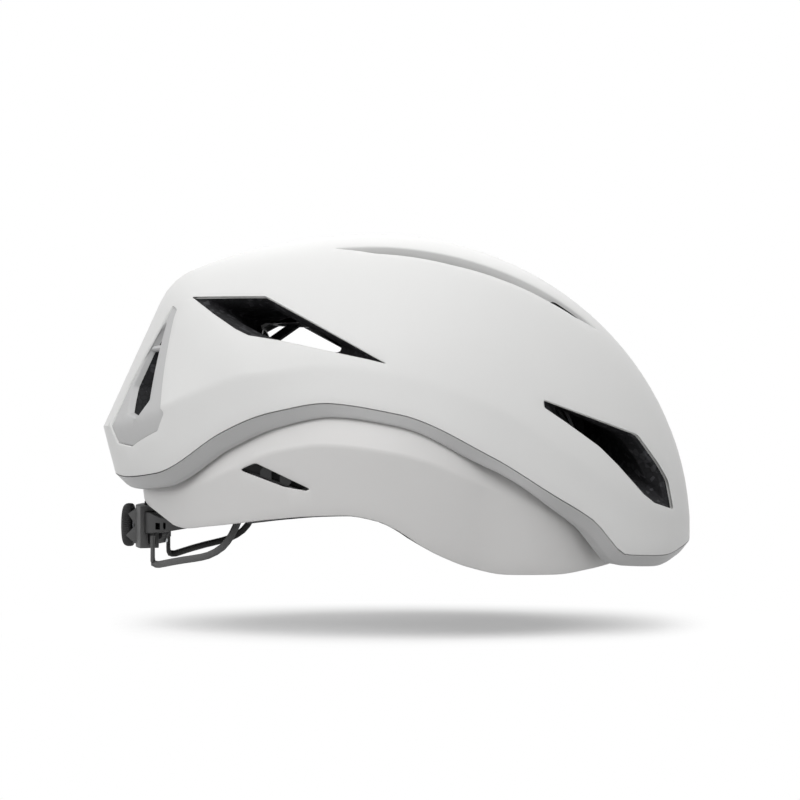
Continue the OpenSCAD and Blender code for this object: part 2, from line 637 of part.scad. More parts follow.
// Cheeks that stand out on both sides of the dial, each with a notch in its rear edge, in [x, z]
CHEEK = [[-130.8, 24.7], [-127.2, 19.2], [-131.9, 14.3], [-128, 10.6], [-124.4, 9], [-117, 11],
         [-117, 28], [-121.5, 28.5], [-126.5, 28]];
cheek_gap = 0.8;
cheek_wall = 5;
module cheeks() {
    inside = dial_radius + cheek_gap;
    both_sides() difference() {
        translate([0, inside + cheek_wall, 0]) rotate([90, 0, 0]) linear_extrude(cheek_wall) polygon(CHEEK);
        translate([band_centre_x, 0, 0]) cylinder(h = 2 * case_high, r = case_radius + 1, $fn = 120);
    }
}
module yoke_housing() {
    color("#5b5d60") difference() {
        union() {
            arc(case_radius, case_radius + case_wall, case_low, case_high, -case_angle, case_angle);
            arc(cover_radius, case_radius + eps, band_high + band_gap, case_high, -case_angle, case_angle);
            arc(cover_radius, case_radius + eps, case_low, band_low - band_gap, -case_angle, case_angle);
            dial_axis(band_centre_x - case_radius - case_wall - boss_height)
                cylinder(h = boss_height + 1.3, r = core_radius - 0.3, $fn = 64);
            cheeks();
        }
        dial_axis(dial_x - bore_reach)
            cylinder(h = 2 * bore_reach, r = shaft_radius + shaft_clearance, $fn = 64);
        screw_holes();
    }
}
screw_radius = 0.7;
screw_length = 5;
module screw_holes() {
    screw_places() translate([0, 0, -1])
        cylinder(h = screw_length + 1.2, r = screw_radius + 0.05, $fn = 32);
}
cover_thickness = 1.75;
// The four screws of the cover, along the radius through the case's flanges
module screw_places() {
    for (a = [3 - case_angle, case_angle - 3],
         z = [(case_high + band_high + band_gap) / 2, (case_low + band_low - band_gap) / 2])
        translate([band_centre_x, 0, z]) rotate([0, 0, 180 - a])
            translate([cover_radius - cover_thickness - 0.1, 0, 0]) rotate([0, 90, 0]) children();
}
module yoke_cover() {
    color("#4a4c4f") difference() {
        arc(cover_radius - 0.05 - cover_thickness, cover_radius - 0.05, case_low, case_high,
            -case_angle, case_angle);
        dial_axis(dial_x - bore_reach)
            cylinder(h = 2 * bore_reach, r = 2 * main_screw_radius + 0.2, $fn = 48);
        screw_holes();
    }
}
module yoke_arms() {
    color("#2b2c2f") both_sides() intersection() {
        arc(arm_inside, arm_inside + arm_thickness, band_low, 2 * band_high, case_angle + 0.1, arm_end);
        side_prism(ARM_SIDE);
    }
}
module cover_screws() {
    color("#8a8c90") screw_places() {
        cylinder(h = screw_length, r = screw_radius, $fn = 32);
        translate([0, 0, -0.6]) cylinder(h = 0.6, r = screw_radius + 0.25, $fn = 32);
    }
}
core_radius = dial_radius - 2.3;
module dial_rim() {
    rib = 0.55;
    color("#141517") dial_axis(dial_x - rim_depth - 0.1) {
        difference() {
            cylinder(h = rim_depth, r = dial_radius - rib, $fn = 96);
            translate([0, 0, -1]) cylinder(h = rim_depth + 2, r = core_radius + 0.05, $fn = 96);
        }
        for (k = [0:dial_ribs - 1]) rotate([0, 0, 360 * k / dial_ribs])
            translate([dial_radius - rib, 0, 0.4]) cylinder(h = rim_depth - 0.8, r = rib, $fn = 16);
    }
}
module dial_core() {
    color("#6a6c70") difference() {
        union() {
            dial_axis(dial_x - core_depth) cylinder(h = core_depth, r = core_radius, $fn = 96);
            dial_axis(dial_x - 1) cylinder(h = pinion_outer_x - dial_x + 0.95, r = shaft_radius, $fn = 64);
        }
        dial_axis(dial_x - core_depth / 2) cylinder(h = bore_reach, r = main_screw_radius + 0.05, $fn = 32);
    }
}
pinion_outer_x = band_centre_x - outer_band - band_thickness - 0.2;
pinion_width = 2 * band_thickness + 2 * band_gap;
module pinion() {
    root = pinion_radius - 1.3;
    color("#b9bbbe") difference() {
        union() {
            dial_axis(pinion_outer_x) cylinder(h = pinion_width, r = root, $fn = 48);
            dial_axis(pinion_outer_x) for (k = [0:pinion_teeth - 1]) rotate([0, 0, 360 * k / pinion_teeth])
                translate([root - 0.4, -tooth_width / 2, 0])
                    cube([pinion_radius + rack_tip - root + 0.4, tooth_width, pinion_width]);
        }
        dial_axis(dial_x - bore_reach) cylinder(h = 2 * bore_reach, r = main_screw_radius + 0.05, $fn = 32);
    }
}
module dial_screw() {
    tip = dial_x - core_depth / 2 + 0.5;
    head = pinion_outer_x + pinion_width + 0.05;
    color("#8a8c90") {
        dial_axis(tip) cylinder(h = head + screw_head - tip, r = main_screw_radius, $fn = 32);
        dial_axis(head) cylinder(h = screw_head, r = 2 * main_screw_radius, $fn = 32);
    }
}
// A thin ring with a bent finger that clicks on the dial core
module detent_spring() {
    color("#b9bbbe") dial_axis(dial_x + 0.15) difference() {
        cylinder(h = 0.3, r = core_radius - 1.1, $fn = 64);
        translate([0, 0, -1]) cylinder(h = 3, r = shaft_radius + 2, $fn = 64);
    }
}
// The wire's route from under the arm, down, along the nape and up to the arm's far end, as the
// angle from the rear, the way out past the arm's middle and the height
LOOP = [[32, 0.8, 18], [32, 0.8, 4], [34.6, -0.4, wire_radius], [66.9, 3.6, 7.4], [73.6, 2.6, 11.7],
        [76.8, 1.8, 17], [79.8, 0, 25.5]];
function loop_point(p) =
    let (r = arm_inside + arm_thickness / 2 + p[1]) [band_centre_x - r * cos(p[0]), r * sin(p[0]), p[2]];
module wire_loop() {
    for (k = [0:len(LOOP) - 2]) hull() for (p = [LOOP[k], LOOP[k + 1]])
        translate(loop_point(p)) sphere(r = wire_radius, $fn = 8);
}
module left_wire_loop() {
    color("#55575a") difference() {
        wire_loop();
        arm_clearance();
    }
}
module right_wire_loop() {
    color("#55575a") mirror([0, 1, 0]) difference() {
        wire_loop();
        arm_clearance();
    }
}
module arm_clearance() {
    intersection() {
        arc(arm_inside - 4, arm_inside + arm_thickness + 4, 0, 2 * band_high, case_angle, arm_end + 8);
        translate([0, 0, -seat]) side_prism(ARM_SIDE);
    }
}
// Pads on the cradle that meet the back of the head
module occipital_pads() {
    color("#191a1c") both_sides() intersection() {
        arc(cover_radius - 5, cover_radius - cover_thickness - 0.1, case_low + 0.5, case_high - 0.5,
            2.8, case_angle - 1);
        hull() for (a = [5.6, 17.6], z = [case_low + 6, case_high - 6])
            translate([band_centre_x, 0, z]) rotate([0, 0, 180 - a]) translate([cover_radius - 3.4, 0, 0])
                rotate([0, 90, 0]) scale([1, 1, 0.7]) sphere(r = 3.6, $fn = 8);
    }
}
ladder_x = ladder_pocket[0][0] + seat;
ladder_wall = 2.2;
ladder_depth = 6;
slider_half_width = 6;
slider_thickness = 2.4;
module height_ladder() {
    color("#3a3c3f") difference() {
        union() {
            translate([ladder_x, -ladder_half_width, ladder_low])
                cube([ladder_wall, 2 * ladder_half_width, ladder_top - ladder_low]);
            both_sides() translate([ladder_x, ladder_half_width - ladder_wall, ladder_low])
                cube([ladder_depth, ladder_wall, ladder_top - ladder_low]);
        }
        for (z = [ladder_low + 5:5:ladder_top - 5]) translate([ladder_x - 1, -3, z]) cube([4, 6, 2]);
    }
}
module height_slider() {
    x = ladder_x + ladder_wall + 0.3;
    foot = band_centre_x - case_radius + 0.7;
    color("#3a3c3f") {
        translate([x, -slider_half_width, case_high + 0.3])
            cube([slider_thickness, 2 * slider_half_width, slider_top - case_high - 0.3]);
        translate([foot, -slider_half_width, case_high + eps])
            cube([x - foot + slider_thickness, 2 * slider_half_width, 1.9]);
    }
}

outer_shell();
outer_liner_foam();
outer_edge_trim();
exhaust_surrounds();
slip_socket();
front_tethers();
rear_tethers();
slip_dome();
inner_liner_foam();
lower_shell();
lower_vent_grilles();
vent_bridges();
brow_pad();
crown_pads();
side_pads();
rear_pads();
strap_anchors();
height_ladder();
height_slider();
yoke_housing();
yoke_cover();
yoke_arms();
cover_screws();
dial_rim();
dial_core();
pinion();
dial_screw();
detent_spring();
left_band();
right_band();
left_wire_loop();
right_wire_loop();
occipital_pads();
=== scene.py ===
"""Looks of a matt white road bike helmet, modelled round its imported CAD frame.

Every form is worked out in millimetres and written to its mesh in metres, in the CAD frame:
+X is the front, +Y the rider's left, +Z up, and z = 0 is the surface it stands on.
"""
from __future__ import annotations

import json
import logging
import math
from dataclasses import dataclass, field
from enum import Enum
from typing import Callable, Sequence

import bpy
import numpy as np
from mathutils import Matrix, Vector
from mathutils.geometry import delaunay_2d_cdt

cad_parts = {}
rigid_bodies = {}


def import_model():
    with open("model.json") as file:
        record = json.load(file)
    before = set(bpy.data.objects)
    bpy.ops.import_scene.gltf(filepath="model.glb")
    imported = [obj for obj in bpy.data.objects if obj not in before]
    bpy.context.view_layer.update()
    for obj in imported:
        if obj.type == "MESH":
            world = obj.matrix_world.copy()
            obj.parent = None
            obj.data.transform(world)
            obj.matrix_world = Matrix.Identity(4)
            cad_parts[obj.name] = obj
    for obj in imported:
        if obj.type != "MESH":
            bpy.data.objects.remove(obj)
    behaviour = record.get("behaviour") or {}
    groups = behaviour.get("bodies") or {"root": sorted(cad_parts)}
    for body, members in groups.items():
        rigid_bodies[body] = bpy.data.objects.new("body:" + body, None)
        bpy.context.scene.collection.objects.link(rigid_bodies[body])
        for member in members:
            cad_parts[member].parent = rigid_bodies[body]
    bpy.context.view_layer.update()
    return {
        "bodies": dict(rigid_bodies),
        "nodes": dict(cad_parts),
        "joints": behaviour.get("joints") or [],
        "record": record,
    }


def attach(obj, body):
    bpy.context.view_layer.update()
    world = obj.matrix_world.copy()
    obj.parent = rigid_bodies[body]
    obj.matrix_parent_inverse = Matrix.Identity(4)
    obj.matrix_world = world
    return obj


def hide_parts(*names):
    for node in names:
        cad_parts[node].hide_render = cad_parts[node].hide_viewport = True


LOG = logging.getLogger("helmet")
MM = 0.001
SIDES = (-1, 1)


# Small tools


def linear(colour: str) -> tuple[float, float, float, float]:
    """Turn an sRGB hex value into Blender's linear colour.

    Args:
        colour: The value, such as "#e8e8e6".

    Returns:
        Red, green, blue and 1.
    """
    parts = [int(colour[i:i + 2], 16) / 255 for i in (1, 3, 5)]
    return tuple(c / 12.92 if c <= 0.04045 else ((c + 0.055) / 1.055) ** 2.4 for c in parts) + (1.0,)


def add_node(tree: bpy.types.NodeTree, kind: str, inputs: dict | None = None, **settings) -> bpy.types.Node:
    """Add a node with its settings, values and links.

    Args:
        tree: The node tree.
        kind: The node's type name.
        inputs: A value, or an output to link, for each input's name or number.
        **settings: Properties of the node.

    Returns:
        The node.
    """
    node = tree.nodes.new(kind)
    for key, value in settings.items():
        setattr(node, key, value)
    for key, value in (inputs or {}).items():
        if isinstance(value, bpy.types.NodeSocket):
            tree.links.new(value, node.inputs[key])
        else:
            node.inputs[key].default_value = value
    return node


def deselect() -> None:
    """Leave nothing selected, as an operator acts on all that is."""
    if bpy.context.object and bpy.context.object.mode != "OBJECT":
        bpy.ops.object.mode_set(mode="OBJECT")
    bpy.ops.object.select_all(action="DESELECT")


def activate(obj: bpy.types.Object) -> None:
    """Select one object alone and make it the active one."""
    deselect()
    obj.select_set(True)
    bpy.context.view_layer.objects.active = obj


def smooth(obj: bpy.types.Object, angle: float = 34.0) -> None:
    """Shade an object smooth, but for edges sharper than the angle in degrees."""
    activate(obj)
    bpy.ops.object.shade_smooth_by_angle(angle=math.radians(angle))


def apply_modifier(obj: bpy.types.Object, kind: str, **settings) -> None:
    """Add a modifier of a kind with its settings, and apply it."""
    activate(obj)
    modifier = obj.modifiers.new(kind.title(), kind)
    for key, value in settings.items():
        setattr(modifier, key, value)
    bpy.ops.object.modifier_apply(modifier=modifier.name)


def cut(obj: bpy.types.Object, cutters: Sequence[bpy.types.Object], operation: str = "DIFFERENCE") -> None:
    """Cut, join or intersect an object with others, which are used up."""
    for cutter in cutters:
        apply_modifier(obj, "BOOLEAN", object=cutter, operation=operation, solver="MANIFOLD")
        bpy.data.objects.remove(cutter)


def set_points(obj: bpy.types.Object, points: np.ndarray) -> None:
    """Write a mesh's points, in millimetres."""
    obj.data.vertices.foreach_set("co", (points.reshape(-1, 3) * MM).astype(np.float32).ravel())
    obj.data.update()


def grid_form(name: str, points: np.ndarray, wrap: bool = True, caps: bool = True) -> bpy.types.Object:
    """Shape a grid primitive into a swept form.

    Args:
        name: The piece's name.
        points: Rows of points in millimetres, as (rows, columns, 3).
        wrap: Whether the last column meets the first.
        caps: Whether the first and last rows are closed with a face each.

    Returns:
        The object.
    """
    if wrap:
        points = np.concatenate([points, points[:, :1]], axis=1)
    rows, columns = points.shape[:2]
    deselect()
    bpy.ops.mesh.primitive_grid_add(x_subdivisions=columns - 1, y_subdivisions=rows - 1, size=1)
    obj = bpy.context.object
    obj.name = obj.data.name = name
    set_points(obj, points)
    bpy.ops.object.mode_set(mode="EDIT")
    bpy.ops.mesh.select_all(action="SELECT")
    bpy.ops.mesh.remove_doubles(threshold=2e-7)
    if caps:
        bpy.ops.mesh.select_all(action="DESELECT")
        bpy.ops.mesh.select_mode(type="EDGE")
        bpy.ops.mesh.select_non_manifold(extend=False, use_boundary=True, use_wire=False,
                                         use_multi_face=False, use_non_contiguous=False,
                                         use_verts=False)
        bpy.ops.mesh.edge_face_add()
        bpy.ops.mesh.select_mode(type="VERT")
    bpy.ops.mesh.select_all(action="SELECT")
    bpy.ops.mesh.normals_make_consistent(inside=False)
    bpy.ops.object.mode_set(mode="OBJECT")
    return obj


def unit(v: np.ndarray) -> np.ndarray:
    """Scale vectors, along the last axis, to length 1."""
    return v / np.maximum(np.linalg.norm(v, axis=-1, keepdims=True), 1e-9)


def rounded(outline: Sequence[Sequence[float]], radius: float | Sequence[float],
            spacing: float = 1.5) -> np.ndarray:
    """Round the corners of a closed outline and space points along it.

    Args:
        outline: The corners.
        radius: Radius at every corner, or one for each.
        spacing: Longest step between points.

    Returns:
        The points, as (n, 2).
    """
    corners = np.array(outline, float)
    radii = np.broadcast_to(radius, len(corners))
    path: list[np.ndarray] = []
    for i, (p, r) in enumerate(zip(corners, radii)):
        a, b = corners[i - 1] - p, corners[(i + 1) % len(corners)] - p
        la, lb = np.linalg.norm(a), np.linalg.norm(b)
        half = math.acos(float(np.clip(np.dot(a, b) / (la * lb), -1, 1))) / 2
        reach = min(r / math.tan(max(half, 0.05)), 0.46 * la, 0.46 * lb)
        start, end = p + a / la * reach, p + b / lb * reach
        steps = 1 if half > 1.5 else max(3, math.ceil((math.pi - 2 * half) / 0.35))
        for t in np.linspace(0, 1, steps + 1):
            path.append(start * (1 - t) ** 2 + p * 2 * t * (1 - t) + end * t * t)
    points = np.array(path)
    out: list[np.ndarray] = []
    for a, b in zip(points, np.roll(points, -1, axis=0)):
        n = max(1, math.ceil(float(np.linalg.norm(b - a)) / spacing))
        if np.linalg.norm(b - a) > 1e-4:
            out.extend(a + (b - a) * k / n for k in range(n))
    return np.array(out)


def resampled(outline: np.ndarray, count: int) -> np.ndarray:
    """Space a number of points evenly along a closed outline, from its first point."""
    closed = np.vstack([outline, outline[:1]])
    way = np.concatenate([[0], np.cumsum(np.linalg.norm(np.diff(closed, axis=0), axis=1))])
    at = np.linspace(0, way[-1], count, endpoint=False)
    return np.stack([np.interp(at, way, closed[:, k]) for k in range(closed.shape[1])], axis=1)


def inside(points: np.ndarray, outline: np.ndarray) -> np.ndarray:
    """Tell which points in a plane lie inside a closed outline."""
    x, y = points[:, 0], points[:, 1]
    found = np.zeros(len(points), bool)
    for (ax, ay), (bx, by) in zip(outline, np.roll(outline, -1, axis=0)):
        if ay != by:
            found ^= ((ay > y) != (by > y)) & (x < (bx - ax) * (y - ay) / (by - ay) + ax)
    return found


def clearance(points: np.ndarray, outline: np.ndarray) -> np.ndarray:
    """Give each point's distance to a closed outline."""
    best = np.full(len(points), 1e9)
    for a, b in zip(outline, np.roll(outline, -1, axis=0)):
        d = b - a
        t = np.clip(((points - a) @ d) / max(float(d @ d), 1e-12), 0, 1)
        best = np.minimum(best, np.linalg.norm(points - a - t[:, None] * d, axis=1))
    return best


# The main forms


class Line:
    """A smooth line of values over azimuth, alike on both sides, that never overshoots."""

    def __init__(self, points: Sequence[Sequence[float]]) -> None:
        """Work out the slopes.

        Args:
            points: Azimuth from the front in degrees, with the value there.
        """
        self.x, self.y = np.array(points, float).T
        s = np.diff(self.y) / np.diff(self.x)
        a, b = s[:-1], s[1:]
        self.m = np.zeros(len(self.x))
        self.m[1:-1] = np.where(a * b > 0, 2 * a * b / np.where(a + b == 0, 1, a + b), 0)

    def __call__(self, azimuth: np.ndarray | float) -> np.ndarray:
        """Give the value at each azimuth in degrees."""
        x = np.abs((np.asarray(azimuth, float) + 180) % 360 - 180)
        i = np.clip(np.searchsorted(self.x, x, side="right") - 1, 0, len(self.x) - 2)
        h = self.x[i + 1] - self.x[i]
        t = (x - self.x[i]) / h
        return (self.y[i] * (1 + 2 * t) * (1 - t) ** 2 + self.m[i] * h * t * (1 - t) ** 2
                + self.y[i + 1] * t * t * (3 - 2 * t) - self.m[i + 1] * h * t * t * (1 - t))


@dataclass(frozen=True)
class HelmetForm:
    """The polar forms about the slip centre that the shells, foams and pads follow."""

    centre: tuple[float, float, float] = (-13.0, 0.0, 22.0)
    profile_ahead: float = 2.4
    profile_base_z: float = 16.0
    front_reach: float = 153.3
    rear_reach: float = 188.0
    top_rise: float = 145.0
    tail_distance: float = 137.4
    tail_tilt: float = 24.6
    tail_blend: float = 8.0
    half_width: float = 104.5
    fullness: float = 2.4
    slip_radius: float = 108.0
    slip_gap: float = 0.6
    facet_sag: float = 0.749
    liner_skin: float = 1.4
    skin: float = 1.6
    seat: float = 0.2
    combined_turn: float = 6.6
    edge_degrees: float = 2.228
    skirt_lap: float = 4.5
    relief_lap: float = 12.1
    low_tuck: float = 0.15
    cavity_half: tuple[float, float, float] = (96.0, 80.0, 94.0)
    edge: Line = Line([[0, -3], [14, -3.9], [24, -5.4], [33, -5.2], [40, 1.6], [47, 6.6], [60, 16],
                       [82, 27.1], [100, 29.6], [114, 26.9], [127, 21.5], [146, 11.5], [160, 10],
                       [180, 10.5]])
    crease: Line = Line([[0, 0.5], [25, 2.3], [34, 6.6], [44, 14.8], [59, 26.5], [82, 35.4],
                         [100, 37.3], [117, 34.1], [134, 28.4], [146, 23], [160, 19.5], [180, 19]])
    low_crease: Line = Line([[0, -6], [30, -4], [45, 3], [63, 11.4], [82, 18.1], [102, 20.5],
                             [113, 19.1], [135, 11], [150, 7.5], [180, 7]])
    rim: Line = Line([[0, 7], [20, 5], [33, 2], [42, 0], [53, 0], [63, 3.5], [71, 9], [77, 15],
                      [82, 21], [88, 26], [96, 28.5], [105, 28], [117, 26], [129, 23.2], [138, 21.4],
                      [145, 20.2], [150, 21.3], [153, 23.4], [160, 27.4], [167, 29.6], [180, 32.5]])
    skirt: Line = Line([[0, 22], [18, 21], [45, 9], [62, 0], [140, 0], [165, 4], [180, 4.5]])
    tuck: Line = Line([[0, 0], [45, -0.05], [75, -0.2], [100, -0.2], [125, -0.02], [140, 0.08],
                       [165, 0.27], [180, 0.27]])

    @property
    def socket_radius(self) -> float:
        """Radius of the socket liner's inner face."""
        return self.slip_radius + self.slip_gap + self.facet_sag

    def skirt_radius(self, azimuth: np.ndarray) -> np.ndarray:
        """Give the lower shell's radius at its upper part."""
        return self.slip_radius + self.skirt(azimuth)

    def rim_el(self, azimuth: np.ndarray) -> np.ndarray:
        """Give the elevation of the rim."""
        rise = self.rim(azimuth) - self.centre[2]
        return np.degrees(np.arctan(rise / (self.skirt_radius(azimuth) * 0.97)))

    def skirt_top(self, azimuth: np.ndarray) -> np.ndarray:
        """Give the elevation of the lower shell's hidden top edge."""
        return self.edge(azimuth) - self.edge_degrees + self.skirt_lap

    def relief_radius(self, azimuth: np.ndarray) -> np.ndarray:
        """Give the radius inside the outer body's edge that the skirt turns in."""
        around = [self.skirt_radius(azimuth + k * self.combined_turn) for k in (-1, 0, 1)]
        return np.maximum.reduce(around) + self.slip_gap + self.facet_sag

    def ellipse_ray(self, ux: np.ndarray, uz: np.ndarray, reach: float) -> np.ndarray:
        """Give the way from the slip centre to the profile's ellipse, along (ux, uz)."""
        px, pz = -self.profile_ahead, self.centre[2] - self.profile_base_z
        a = (ux / reach) ** 2 + (uz / self.top_rise) ** 2
        b = 2 * (px * ux / reach ** 2 + pz * uz / self.top_rise ** 2)
        c = (px / reach) ** 2 + (pz / self.top_rise) ** 2 - 1
        return (-b + np.sqrt(b * b - 4 * a * c)) / (2 * a)

    def side_profile(self, ux: np.ndarray, uz: np.ndarray) -> np.ndarray:
        """Give the side profile's radius along (ux, uz)."""
        front = self.ellipse_ray(ux, uz, self.front_reach)
        top = np.where(front * ux < self.profile_ahead, self.ellipse_ray(ux, uz, self.rear_reach), front)
        tilt = math.radians(self.tail_tilt)
        facing = -ux * math.cos(tilt) + uz * math.sin(tilt)
        tail = self.tail_distance / np.maximum(facing, 0.01)
        near = np.maximum(self.tail_blend - np.abs(top - tail), 0)
        return np.where(facing > 0.01, np.minimum(top, tail) - near ** 2 / (4 * self.tail_blend), top)

    def body_radius(self, azimuth: np.ndarray, elevation: np.ndarray) -> np.ndarray:
        """Give the outer body's radius without its wall under the crease."""
        az, el = np.radians(azimuth), np.radians(elevation)
        ux, uy, uz = np.cos(az) * np.cos(el), np.abs(np.sin(az) * np.cos(el)), np.sin(el) + 0 * az
        c = np.maximum(np.hypot(ux, uz), 0.01)
        k = self.fullness
        return ((c / self.side_profile(ux / c, uz / c)) ** k + (uy / self.half_width) ** k) ** (-1 / k)

    @staticmethod
    def wall_radius(el: np.ndarray, top_el: np.ndarray, top_r: np.ndarray, lean: np.ndarray) -> np.ndarray:
        """Give the radius of a leaning wall that hangs from (top_el, top_r)."""
        el, top_el = np.radians(el), np.radians(top_el)
        rho = top_r * np.cos(top_el)
        return (rho - lean * rho * (np.tan(top_el) - np.tan(el))) / np.cos(el)

    def outer(self, azimuth: np.ndarray, elevation: np.ndarray) -> np.ndarray:
        """Give the outer body's radius."""
        c = self.crease(azimuth)
        top = self.body_radius(azimuth, c)
        wall = self.wall_radius(np.minimum(elevation, 60), c, top, self.tuck(azimuth))
        return np.where(elevation >= c, self.body_radius(azimuth, elevation), wall)

    def lower(self, azimuth: np.ndarray, elevation: np.ndarray) -> np.ndarray:
        """Give the lower shell's radius."""
        c = self.low_crease(azimuth)
        r = self.skirt_radius(azimuth)
        wall = self.wall_radius(np.minimum(elevation, 60), c, r, np.full_like(r, self.low_tuck))
        return np.where(elevation >= c, r, wall)

    def cavity(self, azimuth: np.ndarray, elevation: np.ndarray) -> np.ndarray:
        """Give the head cavity's radius."""
        az, el = np.radians(azimuth), np.radians(elevation)
        length, width, height = self.cavity_half
        return ((np.cos(az) * np.cos(el) / length) ** 2 + (np.sin(az) * np.cos(el) / width) ** 2
                + (np.sin(el) / height) ** 2) ** -0.5


FORM = HelmetForm()
CENTRE = np.array(FORM.centre)


def polar(azimuth: np.ndarray, elevation: np.ndarray, radius: np.ndarray) -> np.ndarray:
    """Give the points at a radius from the slip centre, in millimetres."""
    az, el = np.radians(azimuth), np.radians(elevation)
    ray = np.stack([np.cos(el) * np.cos(az), np.cos(el) * np.sin(az), np.sin(el) + 0 * az], axis=-1)
    return CENTRE + ray * np.asarray(radius)[..., None]


@dataclass(frozen=True)
class PolarSurface:
    """A surface given by its radius, laid out on a plan seen from the crown.

    A point's plan is (90 - elevation) degrees from the middle, in its azimuth's direction.
    """

    radius: Callable[[np.ndarray, np.ndarray], np.ndarray]

    def place(self, plan: np.ndarray) -> np.ndarray:
        """Give the points on the surface for points of the plan."""
        azimuth = np.degrees(np.arctan2(plan[:, 1], plan[:, 0]))
        elevation = 90 - np.hypot(plan[:, 0], plan[:, 1])
        return polar(azimuth, elevation, self.radius(azimuth, elevation))

    def normal(self, plan: np.ndarray, reach: float = 0.4) -> np.ndarray:
        """Give the outward normals at points of the plan."""
        u, v = np.array([reach, 0]), np.array([0, reach])
        return unit(np.cross(self.place(plan + u) - self.place(plan - u),
                             self.place(plan + v) - self.place(plan - v)))

    @staticmethod
    def plan(points: np.ndarray) -> np.ndarray:
        """Give the plan of points in space."""
        d = points - CENTRE
        out = 90 - np.degrees(np.arcsin(d[:, 2] / np.linalg.norm(d, axis=1)))
        return unit(d[:, :2]) * out[:, None]

    def pierce(self, start: np.ndarray, end: np.ndarray) -> np.ndarray:
        """Find where lines that come from outside first meet the surface.

        Args:
            start: The lines' outer ends, as (n, 3).
            end: Their inner ends.

        Returns:
            The points of the plan.
        """
        def off(t: np.ndarray) -> np.ndarray:
            p = start + (end - start) * t[:, None]
            d = p - CENTRE
            r = np.linalg.norm(d, axis=1)
            azimuth = np.degrees(np.arctan2(d[:, 1], d[:, 0]))
            return r - self.radius(azimuth, np.degrees(np.arcsin(d[:, 2] / r)))

        steps = np.linspace(0, 1, 161)
        field_off = np.array([off(np.full(len(start), t)) for t in steps])
        first = np.argmax(field_off <= 0, axis=0)
        low, high = steps[np.maximum(first - 1, 0)], steps[first]
        for _ in range(24):
            middle = (low + high) / 2
            out = off(middle) > 0
            low, high = np.where(out, middle, low), np.where(out, high, middle)
        return self.plan(start + (end - start) * ((low + high) / 2)[:, None])


def compass(azimuth: np.ndarray) -> np.ndarray:
    """Give the plan's unit directions at azimuths in degrees, as (n, 2)."""
    way = np.radians(azimuth)
    return np.stack([np.cos(way), np.sin(way)], 1)


class Facing(Enum):
    """The direction that an opening is cut along."""

    SIDE = "side"
    REAR = "rear"
    FRONT = "front"
    TOP = "top"


@dataclass(frozen=True)
class Opening:
    """An outline cut along one direction, with the corners' radii.

    Side outlines are [x, z], rear and front ones [y, z] and top ones [x, y]. The draft is how far
    the skin's wall leans forwards and up for each millimetre that it goes in.
    """

    outline: tuple[tuple[float, float], ...]
    facing: Facing
    radius: float | tuple[float, ...] = 1.5
    top_slant: float = 8 / 60
    draft: tuple[float, float] = (0.0, 0.0)
    lip_share: float = 1.0

    def lines(self, side: int, flat: np.ndarray, depth: float,
              height: float = 110.0) -> tuple[np.ndarray, np.ndarray]:
        """Give the cutting lines' ends for points of the outline.

        Args:
            side: 1 for the left of the helmet, -1 for the right.
            flat: Points of the outline.
            depth: How far in a side line ends, as |y|, or a rear or front line, as |x|.
            height: How low a line from the top ends.

        Returns:
            The outer and the inner ends.
        """
        a, b = flat[:, 0], flat[:, 1]
        one = np.ones(len(flat))
        if self.facing is Facing.SIDE:
            return np.stack([a, side * 125 * one, b], 1), np.stack([a, side * depth * one, b], 1)
        if self.facing is Facing.TOP:
            slant = self.top_slant * (170 - height)
            return (np.stack([a, side * b, 170 * one], 1),
                    np.stack([a, side * (b - slant), height * one], 1))
        sign = -1 if self.facing is Facing.REAR else 1
        return (np.stack([sign * 170 * one, side * a, b], 1), np.stack([sign * depth * one, side * a, b], 1))

    def plan(self, surface: PolarSurface, side: int, depth: float = 20.0) -> np.ndarray:
        """Give the opening's outline on a surface's plan, counter-clockwise."""
        flat = rounded(self.outline, self.radius)
        loop = surface.pierce(*self.lines(side, flat, depth))
        return counter_clockwise(loop)

    def rim(self, surface: PolarSurface, side: int, depth: float = 20.0,
            flange: Callable[[np.ndarray], np.ndarray] | float = 0.4) -> "Rim":
        """Give the opening's edge in a skin, with a wall along the way it is cut."""
        start, end = self.lines(side, np.array(self.outline[:1]), depth)
        way = unit((end - start)[0]) + np.array([self.draft[0], 0, self.draft[1]])
        return Rim(self.plan(surface, side, depth), -1.0, tuple(way), flange, self.lip_share)


def counter_clockwise(loop: np.ndarray) -> np.ndarray:
    """Turn a closed outline so that it runs counter-clockwise."""
    x, y = loop[:, 0], loop[:, 1]
    area = np.sum(x * np.roll(y, -1) - np.roll(x, -1) * y)
    return loop if area > 0 else loop[::-1].copy()


